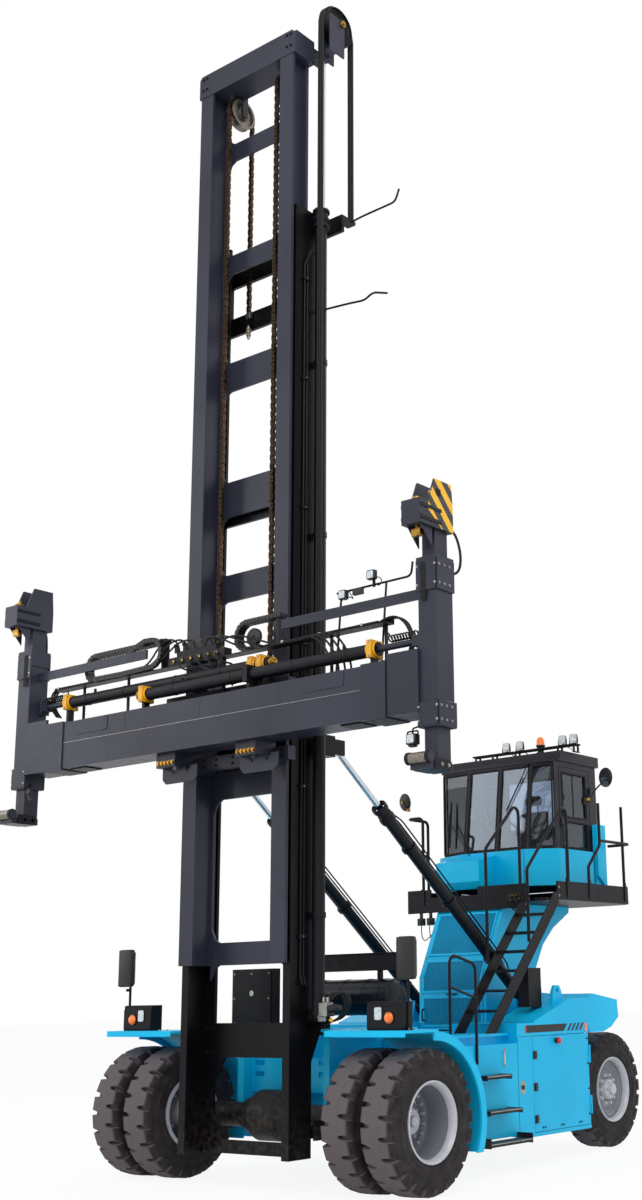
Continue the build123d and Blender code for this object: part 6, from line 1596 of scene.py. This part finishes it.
def buildLines():
    runs = []
    for k in range(2):  # pipes on the left column, and the guide rods of the hoses
        x, y = 0.778, -0.43 - 0.045 * k
        runs.append([(x + 0.03, y, 1.95), (x, y, 2.05), (x, y, 9.9 - 0.1 * k),
            (x + 0.02, y + 0.05, 10.02 - 0.1 * k), (x + 0.04, y + 0.07, 9.95)])
    curvePiece("columnPipes", runs, 0.011, blackPaint, "mast", bend=0.04)
    curvePiece("hoseGuides",
        [[(0.7, 0.095, 10.475), (1.14, 0.1, 10.52), (1.62, 0.1, 10.53), (1.68, 0.1, 10.67)],
        [(0.76, -0.26, 9.3), (1.29, -0.3, 9.22), (1.5, -0.3, 9.19), (1.6, -0.28, 9.26),
        (1.815, -0.3, 9.175)]], 0.012, blackPaint, "mast", bend=0.06)
    bm = bmesh.new()
    for z in mast["clampZ"]:
        addBox(bm, 0.7615, 0.796, -0.5, -0.405, z, z + 0.045)
    makePiece("pipeClamps", bm, blackPaint, "mast", bevel=0.004)
    boltRow("pipeClampBolts", [(0.796, -0.452, z + 0.022) for z in mast["clampZ"]],
        (1, 0, 0), 0.014, "mast", height=0.7)
    lowEnd, reach = Vector((0, 3.5, 1.7)), Vector((0, -3.45, 2.67)).normalized()
    lift = Vector((0, 0.612, 0.791))
    for label, s in (("left", 1), ("right", -1)):
        runs = []
        for k in (-1, 1):
            x = Vector((s * 0.78 + k * 0.028, 0, 0))
            spots = [(0.55, 0.085), (0.62, 0.125), (1.4, 0.13), (2.6, 0.13), (3.1, 0.125), (3.22, 0.088)]
            runs.append([tuple(x + lowEnd + reach * t + lift * h) for t, h in spots])
        curvePiece("tiltPipes_" + label, runs, 0.009, blackPaint, "tilt_cylinder_" + label, bend=0.05)
        bm = bmesh.new()
        foot = Vector((s * 0.78, 0, 0)) + lowEnd
        for t in (0.9, 1.9, 2.8):
            addRod(bm, foot + reach * (t - 0.02), foot + reach * (t + 0.02), 0.0885, sides=36)
        for t in (3.24, 3.4):
            addLathe(bm, foot + reach * t, reach, ((0.0, 0.0795), (0.0, 0.086), (0.02, 0.09), (0.06, 0.09),
                (0.075, 0.084), (0.075, 0.0795)), 40)
        makePiece("tiltBands_" + label, bm, blackPaint, "tilt_cylinder_" + label, bevel=0.003)


buildSpreader()
buildLegs()
buildLines()
print("spreader, legs and lines dressed")


# seat: cushions blown up by cloth pressure, with piping, on the CAD seat's place

seat = {
    "cap": 0.014, "pressure": 4.0, "voxel": 0.008,
    "pads": (("seatCushion", (-0.235, 0.235), ((4.52, 3.53), (4.98, 3.53), (4.98, 3.625), (4.55, 3.632),
        (4.51, 3.6)), 0.7),
        ("seatBack", (-0.215, 0.215), ((4.905, 3.66), (4.985, 3.66), (5.035, 4.18), (4.985, 4.215),
        (4.965, 4.15)), 0.6),
        ("headRest", (-0.13, 0.13), ((4.97, 4.25), (5.03, 4.25), (5.04, 4.41), (4.985, 4.415),
        (4.96, 4.36)), 0.6))}


def blowUp(piece):
    start = np.array([v.co for v in piece.data.vertices])
    cloth = piece.modifiers.new("air", "CLOTH")
    cloth.settings.use_pressure = True
    cloth.settings.uniform_pressure_force = seat["pressure"]
    cloth.settings.effector_weights.gravity = 0
    cloth.settings.quality = 5
    scene = bpy.context.scene
    for step in range(1, 21):
        scene.frame_set(step)
    seen = piece.evaluated_get(bpy.context.evaluated_depsgraph_get())
    moved = np.array([v.co for v in seen.data.vertices]) - start
    size = np.linalg.norm(moved, axis=1, keepdims=True)
    moved *= np.minimum(1, seat["cap"] / np.maximum(size, 1e-9))
    piece.modifiers.remove(cloth)
    piece.data.vertices.foreach_set("co", (start + moved).ravel())
    piece.data.update()
    scene.frame_set(1)


def buildSeat():
    for name, (x0, x1), outline, fill in seat["pads"]:
        bm = bmesh.new()
        addPrism(bm, outline, "x", x0, x1)
        bmesh.ops.bevel(bm, geom=bm.edges[:], offset=0.028, segments=3, affect="EDGES")
        piece = makePiece(name, bm, seatCloth, "chassis",
            ("seat",) if name == "seatCushion" else (), angle=70)
        remesh = piece.modifiers.new("even", "REMESH")
        remesh.mode = "VOXEL"
        remesh.voxel_size = seat["voxel"]
        bpy.context.view_layer.update()
        seen = piece.evaluated_get(bpy.context.evaluated_depsgraph_get())
        even = bpy.data.meshes.new_from_object(seen)
        piece.modifiers.clear()
        piece.data = even
        even.materials.clear()
        even.materials.append(seatCloth)
        blowUp(piece)
        even.shade_smooth()
        pinch = np.array([v.co for v in even.vertices])
        across = np.abs(pinch[:, 0])
        dip = np.exp(-((across - (x1 - 0.085)) / 0.008) ** 2) * 0.010
        middle = pinch.mean(axis=0)
        toward = middle - pinch
        toward[:, 0] = 0
        toward /= np.maximum(np.linalg.norm(toward, axis=1, keepdims=True), 1e-6)
        even.vertices.foreach_set("co", (pinch + toward * dip[:, None]).ravel())
        even.update()
    runs = []
    for x in (-0.15, 0.15):
        runs.append([(x, 4.54, 3.637), (x, 4.75, 3.641), (x, 4.93, 3.634)])
        runs.append([(x * 0.87, 4.955, 3.78), (x * 0.87, 4.965, 3.95), (x * 0.87, 4.975, 4.12)])
    curvePiece("seatPipings", runs, 0.004, seatPiping, "chassis")
    bm = bmesh.new()  # posts of the head rest and the shell behind the back
    for x in (-0.06, 0.06):
        addRod(bm, (x, 5.01, 4.16), (x, 5.0, 4.28), 0.008, sides=12)
    addPrism(bm, [(5.0, 3.62), (5.03, 3.62), (5.058, 4.16), (5.03, 4.19)], "x", -0.2, 0.2)
    makePiece("seatShell", bm, blackPlastic, bevel=0.006)
    bm = bmesh.new()
    for x in (-0.28, 0.28):
        addBox(bm, x - 0.022, x + 0.022, 4.56, 4.86, 3.796, 3.835)
    makePiece("armPads", bm, blackPlastic, bevel=0.014)


buildSeat()
print("seat upholstered")
